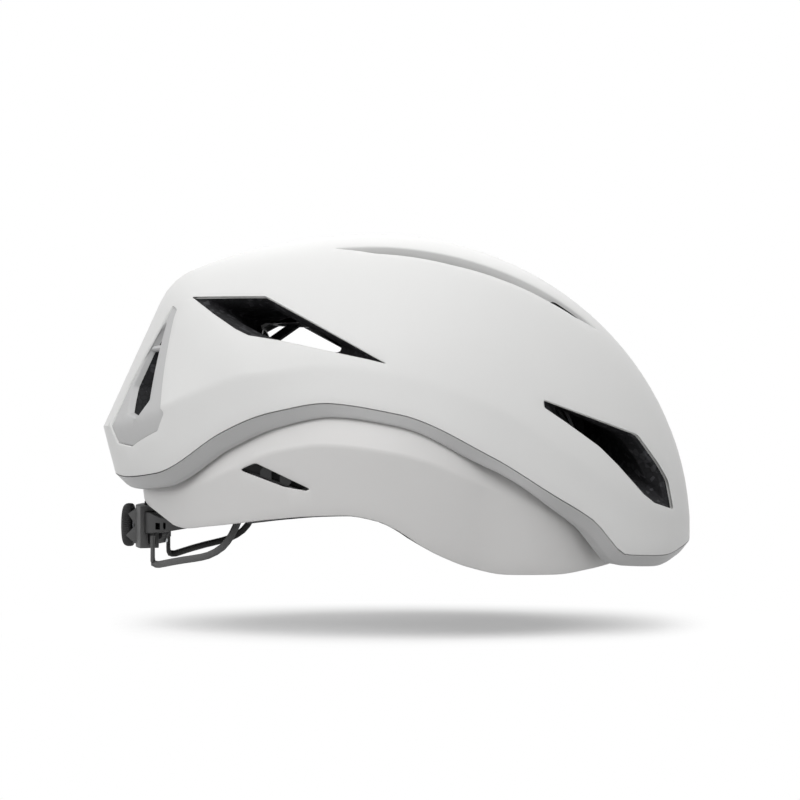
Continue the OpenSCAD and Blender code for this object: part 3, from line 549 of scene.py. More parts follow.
@dataclass
class Rim:
    """A closed edge of a skin.

    Attributes:
        loop: Its line on the plan, counter-clockwise.
        into: 1 for a border, -1 for an opening.
        way_in: The direction that its wall follows, or None for straight through the skin.
        flange: How far the wall goes on past the skin, for points along it.
        lip_share: The part of the skin's lip radius that this edge has.
    """

    loop: np.ndarray
    into: float = -1.0
    way_in: tuple[float, float, float] | None = None
    flange: Callable[[np.ndarray], np.ndarray] | float = 0.4
    lip_share: float = 1.0

    def walls(self, surface: PolarSurface, thickness: float,
              lip: float) -> tuple[np.ndarray, list[np.ndarray]]:
        """Work out the rings of the rounded edge and of its wall.

        Args:
            surface: The skin's outer face.
            thickness: The skin's wall.
            lip: Radius of the edge.

        Returns:
            The ring on the plan where the face ends, and the rings from the edge to the wall's end.
        """
        lip *= self.lip_share
        q, n = surface.place(self.loop), surface.normal(self.loop)
        way = unit(np.cross(n, unit(np.roll(q, -1, axis=0) - np.roll(q, 1, axis=0)))) * self.into
        down = -n if self.way_in is None else np.broadcast_to(unit(np.array(self.way_in)), q.shape)
        steep = 1 / np.clip(-np.sum(down * n, axis=1, keepdims=True), 0.4, 1)
        more = self.flange(q)[:, None] if callable(self.flange) else self.flange
        rings = [q + way * lip * (1 - math.sin(a)) + down * steep * lip * (1 - math.cos(a))
                 for a in np.radians((30, 60, 90))]
        end = down * (thickness * steep + more)
        rings += [q + end * 0.55, q + end, q + end + way * min(lip, 0.5)]
        return surface.plan(q + way * lip), rings


def skin_piece(name: str, surface: PolarSurface, rims: Sequence[Rim], interior: np.ndarray,
               thickness: float = 1.6, lip: float = 0.7, clear: float = 0.9) -> bpy.types.Object:
    """Build a thin moulded skin with a rounded lip along its border and its openings.

    Args:
        name: The piece's name.
        surface: Its outer face.
        rims: Its border, and then its openings.
        interior: Points of the plan to mesh between them.
        thickness: Its wall.
        lip: Radius of its rounded edges.
        clear: Least distance of interior points from the edges, in degrees of the plan.

    Returns:
        The object.
    """
    walls = [rim.walls(surface, thickness, lip) for rim in rims]
    rings = [ring for ring, _ in walls]
    keep = inside(interior, rings[0])
    for k, ring in enumerate(rings):
        keep &= clearance(interior, ring) > clear
        if k:
            keep &= ~inside(interior, ring)
    coords = np.vstack(rings + [interior[keep]])
    starts = np.cumsum([0] + [len(ring) for ring in rings])
    bounds = [(int(s + i), int(s + (i + 1) % len(ring)))
              for s, ring in zip(starts, rings) for i in range(len(ring))]
    verts, _, faces, orig, _, _ = delaunay_2d_cdt([Vector(c) for c in coords], bounds, [], 0, 1e-7)
    plan = np.array([tuple(v) for v in verts])
    where = {o: i for i, group in enumerate(orig) for o in group}
    middles = np.array([plan[list(f)].mean(axis=0) for f in faces])
    good = inside(middles, rings[0])
    for ring in rings[1:]:
        good &= ~inside(middles, ring)
    used = [f for f, g in zip(faces, good) if g]
    outer = surface.place(plan)
    n = len(plan)
    points = [outer, outer - surface.normal(plan) * thickness]
    mesh_faces = [tuple(f) for f in used] + [tuple(n + i for i in reversed(f)) for f in used]
    total = 2 * n
    for (ring, wall), s in zip(walls, starts):
        m = len(ring)
        loops = [[where[int(s) + i] for i in range(m)]]
        for step in wall:
            points.append(step)
            loops.append(list(range(total, total + m)))
            total += m
        loops.append([n + i for i in loops[0]])
        for a, b in zip(loops, loops[1:]):
            mesh_faces += [(a[i], a[(i + 1) % m], b[(i + 1) % m], b[i]) for i in range(m)]
    return mesh_object(name, np.vstack(points), mesh_faces)


def mesh_object(name: str, points: np.ndarray, faces: list[tuple[int, ...]]) -> bpy.types.Object:
    """Give a plane primitive the points, in millimetres, and faces of a closed form.

    Args:
        name: The piece's name.
        points: The points, as (n, 3).
        faces: Their numbers, face by face.

    Returns:
        The object, with loose points removed and its faces outwards.
    """
    deselect()
    bpy.ops.mesh.primitive_plane_add(size=1)
    obj = bpy.context.object
    obj.name = obj.data.name = name
    obj.data.clear_geometry()
    obj.data.from_pydata([tuple(p) for p in points * MM], [], faces)
    obj.data.update()
    bpy.ops.object.mode_set(mode="EDIT")
    bpy.ops.mesh.select_all(action="SELECT")
    bpy.ops.mesh.delete_loose()
    bpy.ops.mesh.select_all(action="SELECT")
    bpy.ops.mesh.normals_make_consistent(inside=False)
    bpy.ops.object.mode_set(mode="OBJECT")
    return obj


def rings_between(low: Callable, high: Callable, shares: Sequence[float], count: int = 176) -> np.ndarray:
    """Spread rings of plan points between two lines.

    Args:
        low: The lower line's elevation over azimuth.
        high: The upper line's.
        shares: Where each ring lies, from 0 at the lower line to 1 at the upper one.
        count: Points in a full ring at elevation 0.

    Returns:
        The points of the plan.
    """
    rings = []
    for k, share in enumerate(shares):
        middle = low(90.0) + (high(90.0) - low(90.0)) * share
        n = max(6, int(round(count * math.cos(math.radians(max(0.0, float(middle)))))))
        azimuth = (np.arange(n) + 0.5 * (k % 2)) * 360 / n
        elevation = low(azimuth) + (high(azimuth) - low(azimuth)) * share
        rings.append(compass(azimuth) * (90 - elevation)[:, None])
    return np.vstack(rings)


def sphere_form(name: str, outer: Callable, inner: Callable, segments: int, rings: int,
                share: float = 0.5) -> bpy.types.Object:
    """Reshape a sphere primitive into a thick dome: its upper rings go outside, its lower ones inside.

    Args:
        name: The piece's name.
        outer: Points of the outer face over azimuth and a share from 0 at the edge to 1 at the crown.
        inner: The same of the inner face.
        segments: Columns.
        rings: Rings from pole to pole.
        share: The part of the rings that go outside.

    Returns:
        The object.
    """
    deselect()
    bpy.ops.mesh.primitive_uv_sphere_add(segments=segments, ring_count=rings, radius=1)
    obj = bpy.context.object
    obj.name = obj.data.name = name
    co = np.empty(len(obj.data.vertices) * 3, np.float32)
    obj.data.vertices.foreach_get("co", co)
    co = co.reshape(-1, 3).astype(float)
    down = np.degrees(np.arccos(np.clip(co[:, 2], -1, 1))) / 180
    azimuth = np.round(np.degrees(np.arctan2(co[:, 1], co[:, 0])), 4)
    step = 1 / rings
    turn = round(share * rings) * step
    up = 1 - down / turn
    back = (down - turn - step) / (1 - turn - step)
    place = np.where((down <= turn + step / 4)[:, None],
                     outer(azimuth, np.clip(up, 0, 1)), inner(azimuth, np.clip(back, 0, 1)))
    set_points(obj, place)
    return obj


# Finishes


def new_material(name: str) -> tuple[bpy.types.Material, bpy.types.NodeTree, bpy.types.Node,
                                     bpy.types.NodeSocket]:
    """Start a material: give it, its node tree, its shader and its object coordinates."""
    material = bpy.data.materials.new(name)
    material.use_nodes = True
    tree = material.node_tree
    where = add_node(tree, "ShaderNodeTexCoord").outputs["Object"]
    return material, tree, tree.nodes["Principled BSDF"], where


@dataclass(frozen=True)
class MouldedPlastic:
    """Injection-moulded or vacuum-formed plastic with a fine texture from its mould."""

    name: str
    colour: str
    roughness: float = 0.5
    grain_mm: float = 0.35
    grain_depth_mm: float = 0.02
    ior: float = 1.5
    tone: float = 0.04
    coat: float = 0.0
    patch_mm: float = 22.0
    roughness_spread: float = 0.05

    def make(self) -> bpy.types.Material:
        """Build the material, which a uniform colour, a fine grain and faint patches make up."""
        material, tree, shader, where = new_material(self.name)
        grain = add_node(tree, "ShaderNodeTexNoise",
                         {"Vector": where, "Scale": 1 / (self.grain_mm * MM), "Detail": 2.0})
        patches = add_node(tree, "ShaderNodeTexNoise",
                           {"Vector": where, "Scale": 1 / (self.patch_mm * MM), "Detail": 3.0})
        base = linear(self.colour)
        dark = tuple(c * (1 - self.tone) for c in base[:3]) + (1.0,)
        tint = add_node(tree, "ShaderNodeMix", {"Factor": patches.outputs["Fac"], 6: dark, 7: base},
                        data_type="RGBA")
        tree.links.new(tint.outputs[2], shader.inputs["Base Color"])
        spread = self.roughness_spread
        rough = add_node(tree, "ShaderNodeMapRange",
                         {"Value": patches.outputs["Fac"], "To Min": self.roughness - spread,
                          "To Max": self.roughness + spread})
        tree.links.new(rough.outputs["Result"], shader.inputs["Roughness"])
        bump = add_node(tree, "ShaderNodeBump",
                        {"Height": grain.outputs["Fac"], "Distance": self.grain_depth_mm * MM,
                         "Strength": 1.0})
        tree.links.new(bump.outputs["Normal"], shader.inputs["Normal"])
        shader.inputs["IOR"].default_value = self.ior
        shader.inputs["Coat Weight"].default_value = self.coat
        return material


@dataclass(frozen=True)
class BeadFoam:
    """Expanded polystyrene: fused beads of a few millimetres, some of them lighter."""

    name: str
    colour: str
    speckle: str
    bead_mm: float = 2.6

    def make(self) -> bpy.types.Material:
        """Build the material: bead cells, their seams as grooves, and sparse light beads."""
        material, tree, shader, where = new_material(self.name)
        scale = 1 / (self.bead_mm * MM)
        beads = add_node(tree, "ShaderNodeTexVoronoi", {"Vector": where, "Scale": scale})
        seams = add_node(tree, "ShaderNodeTexVoronoi", {"Vector": where, "Scale": scale},
                         feature="DISTANCE_TO_EDGE")
        pick = add_node(tree, "ShaderNodeSeparateColor", {"Color": beads.outputs["Color"]})
        light = add_node(tree, "ShaderNodeMapRange",
                         {"Value": pick.outputs["Red"], "From Min": 0.6, "From Max": 1.0})
        tint = add_node(tree, "ShaderNodeMix", {"Factor": light.outputs["Result"], 6: linear(self.colour),
                                                7: linear(self.speckle)}, data_type="RGBA")
        groove = add_node(tree, "ShaderNodeMapRange", {"Value": seams.outputs["Distance"], "From Max": 0.12,
                                                       "To Min": 0.55, "To Max": 1.0})
        shade = add_node(tree, "ShaderNodeMix",
                         {"Factor": 1.0, 6: tint.outputs[2], 7: groove.outputs["Result"]},
                         data_type="RGBA", blend_type="MULTIPLY")
        tree.links.new(shade.outputs[2], shader.inputs["Base Color"])
        bump = add_node(tree, "ShaderNodeBump",
                        {"Height": groove.outputs["Result"], "Distance": 0.12 * MM, "Strength": 0.8})
        tree.links.new(bump.outputs["Normal"], shader.inputs["Normal"])
        shader.inputs["Roughness"].default_value = 0.85
        shader.inputs["Specular IOR Level"].default_value = 0.25
        return material


@dataclass(frozen=True)
class KnitFabric:
    """Knitted polyester over foam, as on comfort pads."""

    name: str
    colour: str
    thread_mm: float = 0.9

    def make(self) -> bpy.types.Material:
        """Build the material: crossed ribs of thread, drawn as coarse as they need to show."""
        material, tree, shader, where = new_material(self.name)
        waves = [add_node(tree, "ShaderNodeTexWave", {"Vector": where, "Scale": 0.314 / (self.thread_mm * MM),
                                                      "Distortion": 0.4, "Detail": 1.0},
                          bands_direction=axis) for axis in ("X", "Z")]
        weave = add_node(tree, "ShaderNodeMath", {0: waves[0].outputs["Fac"], 1: waves[1].outputs["Fac"]},
                         operation="MULTIPLY")
        base = linear(self.colour)
        light = tuple(min(1.0, c * 2.2 + 0.004) for c in base[:3]) + (1.0,)
        tint = add_node(tree, "ShaderNodeMix", {"Factor": weave.outputs[0], 6: base, 7: light},
                        data_type="RGBA")
        tree.links.new(tint.outputs[2], shader.inputs["Base Color"])
        bump = add_node(tree, "ShaderNodeBump",
                        {"Height": weave.outputs[0], "Distance": 0.15 * MM, "Strength": 0.7})
        tree.links.new(bump.outputs["Normal"], shader.inputs["Normal"])
        shader.inputs["Roughness"].default_value = 0.9
        shader.inputs["Sheen Weight"].default_value = 0.3
        shader.inputs["Sheen Roughness"].default_value = 0.5
        return material


@dataclass(frozen=True)
class TurnedSteel:
    """Zinc-plated steel, as of small screws: bright, with fine turning marks."""

    name: str
    colour: str

    def make(self) -> bpy.types.Material:
        """Build the material."""
        material, tree, shader, where = new_material(self.name)
        marks = add_node(tree, "ShaderNodeTexNoise",
                         {"Vector": where, "Scale": 1 / (0.3 * MM), "Detail": 3.0})
        rough = add_node(tree, "ShaderNodeMapRange",
                         {"Value": marks.outputs["Fac"], "To Min": 0.25, "To Max": 0.45})
        tree.links.new(rough.outputs["Result"], shader.inputs["Roughness"])
        shader.inputs["Base Color"].default_value = linear(self.colour)
        shader.inputs["Metallic"].default_value = 1.0
        return material


FINISHES = {
    # Polycarbonate skin, vacuum-formed and lacquered matt: an even satin white
    "white_shell": MouldedPlastic("matt_white_polycarbonate", "#e4e4e3", 0.48, 0.3, 0.004, tone=0.012),
    # The same skin on the lower shell, in a slightly darker white that is painted shade
    "lower_white_shell": MouldedPlastic("matt_white_polycarbonate_lower_painted_shade", "#dedddc", 0.5, 0.3, 0.004,
                                        tone=0.012),
    # Moulding along the arch: its grey is painted shade, standing for the shade on the band that faces down
    "grey_edge": MouldedPlastic("edge_moulding_grey_painted_shade", "#c0c0c0", 0.5, 0.3, 0.006, tone=0.03),
    # Moulded ABS surround in a light grey
    "exhaust_grey": MouldedPlastic("satin_light_grey_abs", "#c4c4c4", 0.5, 0.3, 0.006, tone=0.02),
    "charcoal_foam": BeadFoam("charcoal_bead_foam", "#262628", "#48484b"),
    # Vacuum-formed polycarbonate liner, black, slightly glossy
    "liner_plastic": MouldedPlastic("black_polycarbonate_liner", "#121314", 0.3, 0.5, 0.004),
    "black_elastomer": MouldedPlastic("black_elastomer", "#101011", 0.7, 0.4, 0.02),
    "black_plastic": MouldedPlastic("black_textured_nylon", "#161617", 0.55, 0.4, 0.03),
    "housing_grey": MouldedPlastic("grey_textured_nylon", "#5c5c5c", 0.6, 0.35, 0.03, tone=0.05),
    "wire_grey": MouldedPlastic("grey_flexible_nylon", "#555555", 0.55, 0.35, 0.02, tone=0.05),
    "wire_black": MouldedPlastic("black_flexible_nylon", "#1d1d1d", 0.55, 0.35, 0.02, tone=0.05),
    "pad_fabric": KnitFabric("black_knit_fabric", "#131316"),
    "steel": TurnedSteel("zinc_plated_steel", "#b9bbbe"),
}


class Workshop:
    """Dresses the finished pieces and keeps their count."""

    def __init__(self, frame: dict) -> None:
        """Make the materials.
        """
        self.frame = frame
        self.materials = {slot: finish.make() for slot, finish in FINISHES.items()}
        self.count = 0

    def dress_nodes(self) -> None:
        """Give every CAD node's slots the finish that its record names."""
        for name, obj in self.frame["nodes"].items():
            for slot in obj.material_slots:
                key = (slot.material.name if slot.material else "").split(".")[0]
                slot.material = self.materials.get(key, self.materials["black_plastic"])
            LOG.info("node %s keeps its mesh", name)

    def hand_over(self, obj: bpy.types.Object, body: str, slot: str, *nodes: str,
                  angle: float = 34.0) -> None:
        """Finish a piece: shading, material, body, slot and the nodes it stands for.

        Args:
            obj: The piece.
            body: The CAD body it moves with.
            slot: The record's material slot.
            *nodes: The CAD nodes it replaces.
            angle: Sharpest edge that is still shaded smooth, in degrees.
        """
        smooth(obj, angle)
        obj.data.materials.clear()
        obj.data.materials.append(self.materials[slot])
        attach(obj, body)
        if nodes:
            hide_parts(*nodes)
        self.count += 1
        LOG.info("piece %s: %d faces on %s", obj.name, len(obj.data.polygons), body)


# The outer body

REAR_SIDE = Opening(((-95.8, 128.0), (-60.4, 127.6), (-4.4, 96.0), (-8.4, 97.0), (-12.5, 98.0),
                     (-32.6, 102.3), (-54.0, 107.0), (-67.5, 109.2), (-73.5, 112.1), (-84.2, 119.3)),
                    Facing.SIDE, (0.4, 3.0, 0.25, 1.0, 3.0, 20.0, 20.0, 6.0, 8.0, 30.0),
                    draft=(-0.1, 0.1), lip_share=0.4)
# The throat lies a little in from the mouth, so that the foam's wall shows round the dark tunnel
REAR_SIDE_THROAT = ((-83, 123.4), (-59.3, 123.4), (-25.3, 105.1), (-26, 101.6), (-34, 102.3), (-53.7, 107.2),
                    (-62, 110.2), (-72, 115.5))
REAR_SIDE_INNER = ((-66, 117), (-40, 117), (-22, 105), (-22, 101), (-52, 103), (-64, 108))
FRONT_SIDE = Opening(((66.0, 80.2), (111.2, 64.0), (121.5, 50.6), (126.6, 42.6), (129.3, 28.6), (118.7, 32.4),
                      (113.1, 36.7), (100.6, 50.3), (91.8, 58.8), (76.4, 69.8), (66.3, 76.6)), Facing.SIDE,
                     (1.6, 6.0, 14.0, 9.0, 1.0, 2.5, 3.0, 20.0, 20.0, 20.0, 1.6),
                     draft=(0.2, -0.04), lip_share=0.3)
FRONT_SIDE_THROAT = ((70.8, 77.6), (102.4, 64), (112, 51.6), (118, 38.8), (113.4, 38.4), (100.9, 51.2),
                     (92.3, 58.9), (77.2, 69.7))
FRONT_SIDE_INNER = ((58, 82), (84, 76), (90, 70), (90, 58), (72, 66))
TOP_SLIT = Opening(((-30.5, 48.7), (-4.9, 48.9), (17.6, 49.3), (44.4, 49.0), (69.0, 47.6), (95.5, 45.9),
                    (83.6, 52.6), (71.3, 55.0), (60.0, 56.0), (49.7, 57.0), (26.4, 58.4), (3.1, 57.2),
                    (-10.2, 56.2), (-24.0, 51.2)), Facing.TOP,
                   (0.6, 20, 20, 20, 20, 0.8, 6, 12, 12, 12, 20, 20, 8, 6))
SURROUND = Opening(((50, 124), (55, 122), (73, 74), (70, 66), (56, 58.5), (45, 60), (41, 68), (41, 86)),
                   Facing.REAR, (1.0, 1.5, 2.0, 2.0, 2.0, 2.0, 2.0, 8.0))
EXHAUST = Opening(((50, 117), (64, 80), (61, 71.5), (52, 74), (45, 86), (45, 109)), Facing.REAR,
                  (1.0, 1.5, 1.5, 1.5, 3.0, 3.0))
BROW_PORT = Opening(((-17, 58), (17, 58), (20, 50), (0, 47.5), (-20, 50)), Facing.FRONT, 2.0)


def scaled(outline: Sequence[Sequence[float]], grow: float) -> tuple[tuple[float, float], ...]:
    """Grow an outline about its middle by a length at every corner."""
    p = np.array(outline, float)
    middle = p.mean(axis=0)
    return tuple(map(tuple, middle + (p - middle) * (1 + grow / np.linalg.norm(p - middle, axis=1))[:, None]))


def tunnel(name: str, opening: Opening, side: int, depths: Sequence[tuple[float, Sequence | None, float]],
           count: int = 64) -> bpy.types.Object:
    """Build the cutter of a tapering tunnel.

    Args:
        name: Its name.
        opening: The outline at its mouth.
        side: 1 for the left, -1 for the right.
        depths: Stations from the outside in: |y| or |x| or z, the outline there or None for the
            mouth's, and how far that outline is grown.
        count: Points round it.

    Returns:
        The cutter.
    """
    rows = []
    for depth, outline, grow in depths:
        flat = resampled(rounded(scaled(outline or opening.outline, grow), 2.0), count)
        if opening.facing is Facing.TOP:
            rows.append(opening.lines(side, flat, 0, depth)[1])
        else:
            rows.append(opening.lines(side, flat, depth)[1])
    return grid_form(name, np.array(rows))


def funnel(name: str, opening: Opening, side: int, throat: Sequence, throat_depth: float,
           inner: Sequence, inner_at: float, count: int = 96) -> bpy.types.Object:
    """Build the cutter of a side tunnel that narrows from the shell to a throat, and on inwards.

    Args:
        name: Its name.
        opening: The outline in the shell.
        side: 1 for the left, -1 for the right.
        throat: The outline at the throat.
        throat_depth: How deep under the shell the throat lies.
        inner: The outline at the inner end.
        inner_at: The inner end's |y|.
        count: Points round it.

    Returns:
        The cutter.
    """
    surface = PolarSurface(FORM.outer)
    outlines = (scaled(opening.outline, 0.25), throat, inner)
    mouth, middle, end = (resampled(rounded(outline, 2.0), count) for outline in outlines)

    def under(flat: np.ndarray, depth: float) -> np.ndarray:
        points = surface.place(surface.pierce(*opening.lines(side, flat, 5.0)))
        return points - np.array([0, side * depth, 0])

    rows = [opening.lines(side, mouth, 0)[0], under(mouth, 1.2),
            under(mouth * 0.6 + middle * 0.4, throat_depth * 0.35),
            under(middle, throat_depth), opening.lines(side, end, inner_at)[1]]
    return grid_form(name, np.array(rows))


# Points in a ring beside a crease: closer than the rings are, so that the mesh keeps the crease's line
CREASE_POINTS = 460


@dataclass
class OuterBody:
    """Shell, foam, edge moulding and exhaust surrounds of the outer body."""

    workshop: Workshop
    surround_drop: float = 0.8
    surround_wall: float = 2.8
    rib_half: tuple[float, float] = (2.2, 1.5)
    rib_depth: float = 2.9
    trim_depth: float = 9.0

    def shell(self) -> None:
        """Build the white outer shell with all its openings."""
        surface = PolarSurface(FORM.outer)
        azimuth = np.arange(0, 360, 1.6)
        border_el = FORM.edge(azimuth) + 0.08
        boundary = compass(azimuth) * (90 - border_el)[:, None]
        rims = [Rim(boundary, 1.0, lip_share=0.3), BROW_PORT.rim(surface, 1, 60.0)]
        grown = Opening(scaled(SURROUND.outline, 0.15), Facing.REAR, SURROUND.radius)
        for side in SIDES:
            rims += [REAR_SIDE.rim(surface, side), FRONT_SIDE.rim(surface, side, 10.0),
                     TOP_SLIT.rim(surface, side, flange=self.gutter), grown.rim(surface, side, 80.0)]

        def crown(a: np.ndarray) -> np.ndarray:
            return np.full_like(np.asarray(a, float), 90.0)

        interior = np.vstack([
            rings_between(FORM.edge, FORM.crease, [0.28, 0.5, 0.72, 0.88]),
            rings_between(lambda a: FORM.crease(a) - 0.8, lambda a: FORM.crease(a) + 0.8, [0, 0.5, 1],
                          CREASE_POINTS),
            rings_between(lambda a: FORM.crease(a) + 0.8, crown, [k / 30 for k in range(1, 30)]),
            [[0.0, 0.0]]])
        obj = skin_piece("outer_shell_matt_white", surface, rims, interior, FORM.skin - 0.1)
        self.workshop.hand_over(obj, "outer_helmet", "white_shell", "outer_shell")

    @staticmethod
    def gutter(points: np.ndarray) -> np.ndarray:
        """Give the depth of the wall that the shell turns down along a top slit's upper edge."""
        x, y = points[:, 0], np.abs(points[:, 1])
        upper = np.clip((53.0 - 0.012 * np.abs(x - 20) - y) / 2.0, 0, 1)
        return 0.4 + 7.6 * upper * np.clip((74 - x) / 10, 0, 1) * np.clip((x + 31) / 6, 0, 1)

    def foam(self) -> None:
        """Build the outer foam liner and cut its tunnels."""
        depth = FORM.skin + FORM.seat
        socket = FORM.socket_radius + FORM.liner_skin + FORM.seat

        def outer(azimuth: np.ndarray, share: np.ndarray) -> np.ndarray:
            edge, crease = FORM.edge(azimuth) + 0.24, FORM.crease(azimuth)
            el = np.where(share < 0.2, edge + (crease - edge) * share / 0.2,
                          crease + (90 - crease) * (share - 0.2) / 0.8)
            return polar(azimuth, el, FORM.outer(azimuth, el) - depth)

        def inner(azimuth: np.ndarray, share: np.ndarray) -> np.ndarray:
            edge = FORM.edge(azimuth) + 0.24
            top = FORM.edge(azimuth) - FORM.edge_degrees + FORM.relief_lap
            relief = np.minimum(FORM.relief_radius(azimuth), FORM.outer(azimuth, edge) - depth - 0.8)
            el = np.where(share < 0.15, edge + (top - edge) * share / 0.15,
                          top + 0.3 + (89.7 - top) * (share - 0.15) / 0.85)
            near_edge = np.minimum(relief, FORM.outer(azimuth, el) - depth - 0.8)
            return polar(azimuth, el, np.where(share < 0.15, near_edge, socket))

        obj = sphere_form("outer_foam_liner", outer, inner, 144, 60)
        cutters = [tunnel("brow_cutter", BROW_PORT, 1, [(170, None, 0.6), (60, None, 0.6)])]
        for side in SIDES:
            cutters += [
                funnel("rear_side_cutter", REAR_SIDE, side, REAR_SIDE_THROAT, 13.0, REAR_SIDE_INNER, 25),
                funnel("front_side_cutter", FRONT_SIDE, side, FRONT_SIDE_THROAT, 14.0, FRONT_SIDE_INNER, 20),
                tunnel("slit_cutter", TOP_SLIT, side, [(170, None, 1.3), (110, None, 1.3)]),
                tunnel("exhaust_cutter", EXHAUST, side, [(170, None, 0.3), (60, None, 0.3)]),
                self.surround_pocket(side)]
        cut(obj, cutters)
        self.workshop.hand_over(obj, "outer_helmet", "charcoal_foam", "outer_liner_foam", angle=30)

    def surround_pocket(self, side: int) -> bpy.types.Object:
        """Build the cutter of the pocket that an exhaust surround lies in."""
        flat = resampled(rounded(scaled(SURROUND.outline, 0.3), 2.0), 96)
        surface = PolarSurface(
            lambda a, e: FORM.outer(a, e) - self.surround_drop - self.surround_wall - FORM.seat)
        start, end = SURROUND.lines(side, flat, 80.0)
        bed = surface.place(surface.pierce(start, end))
        middle = bed.mean(axis=0)
        rows = [start, bed] + [middle + (bed - middle) * k for k in (0.66, 0.33, 0.02)]
        for k in (2, 3, 4):
            rows[k] = surface.place(surface.plan(rows[k]))
        return grid_form("surround_pocket_cutter", np.array(rows))

    def edge_moulding(self) -> None:
        """Build the chamfered moulding along the arch, whose grey finish is painted shade."""
        azimuth = np.arange(0, 360, 1.25)
        edge = FORM.edge(azimuth)
        low = edge - FORM.edge_degrees
        relief = FORM.relief_radius(azimuth)
        top_out = FORM.outer(azimuth, edge)
        low_out = np.maximum(relief + 0.6, FORM.outer(azimuth, low) - 4.5)
        top_in = np.maximum(relief, top_out - self.trim_depth)
        rows = [polar(azimuth, edge, top_in), polar(azimuth, edge, top_out - 0.55),
                polar(azimuth, edge - 0.1, top_out - 0.12)]
        for t in (0.14, 0.32, 0.5, 0.68, 0.86):
            rows.append(polar(azimuth, edge + (low - edge) * t, top_out + (low_out - top_out) * t))
        rows += [polar(azimuth, low + 0.12, low_out + 0.05), polar(azimuth, low, low_out - 0.4),
                 polar(azimuth, low, top_in)]
        points = np.array(rows + rows[:1])
        obj = grid_form("arch_edge_moulding", points, caps=False)
        # The grey finish on this band is painted shade
        self.workshop.hand_over(obj, "outer_helmet", "grey_edge", "outer_edge_trim", angle=28)

    def surrounds(self) -> None:
        """Build the two exhaust surrounds, each with its slot and a cross rib."""
        surface = PolarSurface(lambda a, e: FORM.outer(a, e) - self.surround_drop)
        parts = []
        for side in SIDES:
            border = SURROUND.rim(surface, side, 80.0, 0.0)
            border.into = 1.0
            low, high = border.loop.min(axis=0), border.loop.max(axis=0)
            across = (np.arange(a, b, 1.6) for a, b in zip(low, high))
            interior = np.stack(np.meshgrid(*across), -1).reshape(-1, 2)
            rims = [border, EXHAUST.rim(surface, side, 80.0, 0.0)]
            parts.append(skin_piece("exhaust_surround", surface, rims, interior, self.surround_wall,
                                    0.6, 0.7))
            parts.append(self.rib(side, surface))
        obj = joined("exhaust_surrounds_grey", parts)
        self.workshop.hand_over(obj, "outer_helmet", "exhaust_grey", "exhaust_surrounds")

    def rib(self, side: int, surface: PolarSurface) -> bpy.types.Object:
        """Build the slanting rib that crosses one exhaust slot."""
        ends = np.array([[43.0, 104.0], [58.0, 104.5]])
        rows = []
        for t in np.linspace(0, 1, 7):
            y, z = ends[0] * (1 - t) + ends[1] * t
            ring = [[math.cos(a) * self.rib_half[0], math.sin(a) * self.rib_half[1]]
                    for a in np.linspace(0, 2 * math.pi, 12, endpoint=False)]
            flat = np.array([[y, z]])
            base = surface.place(surface.pierce(*SURROUND.lines(side, flat, 80.0)))[0]
            rows.append([base + [self.rib_depth + r[0], 0, r[1]] for r in ring])
        return grid_form("exhaust_rib", np.array(rows))

    def build(self) -> None:
        """Build every piece of the outer body."""
        self.shell()
        self.foam()
        self.edge_moulding()
        self.surrounds()


# The inner body

LOW_VENT = Opening(((-71.6, 48.3), (-64.1, 51.6), (-40.2, 40.5), (-39.4, 39.9), (-41.0, 39.2), (-51.0, 40.9)),
                   Facing.SIDE, (1.0, 3.0, 1.0, 0.8, 1.0, 8.0))
LOW_VENT_WELL = ((-71, 48.7), (-63.6, 52), (-39.5, 40.2), (-43, 39.3), (-50.4, 41.6))
ANCHORS = ((50, 75, 1), (50, -75, 1), (-47.8, 82.6, 29), (-47.8, -82.6, 29))
ANCHOR_RADIUS = 5.2
ANCHOR_HEIGHT = 10.2
# Two corners of the slot that the height ladder lies in
LADDER_SLOT = ((-108.5, -9.5, 19.5), (-88.5, 9.5, 67.9))
# The room for the arms, as [radius, z] about the cradle's axis
ARM_ROOM = ((56, -1), (84, -1), (84, 35), (56, 35))


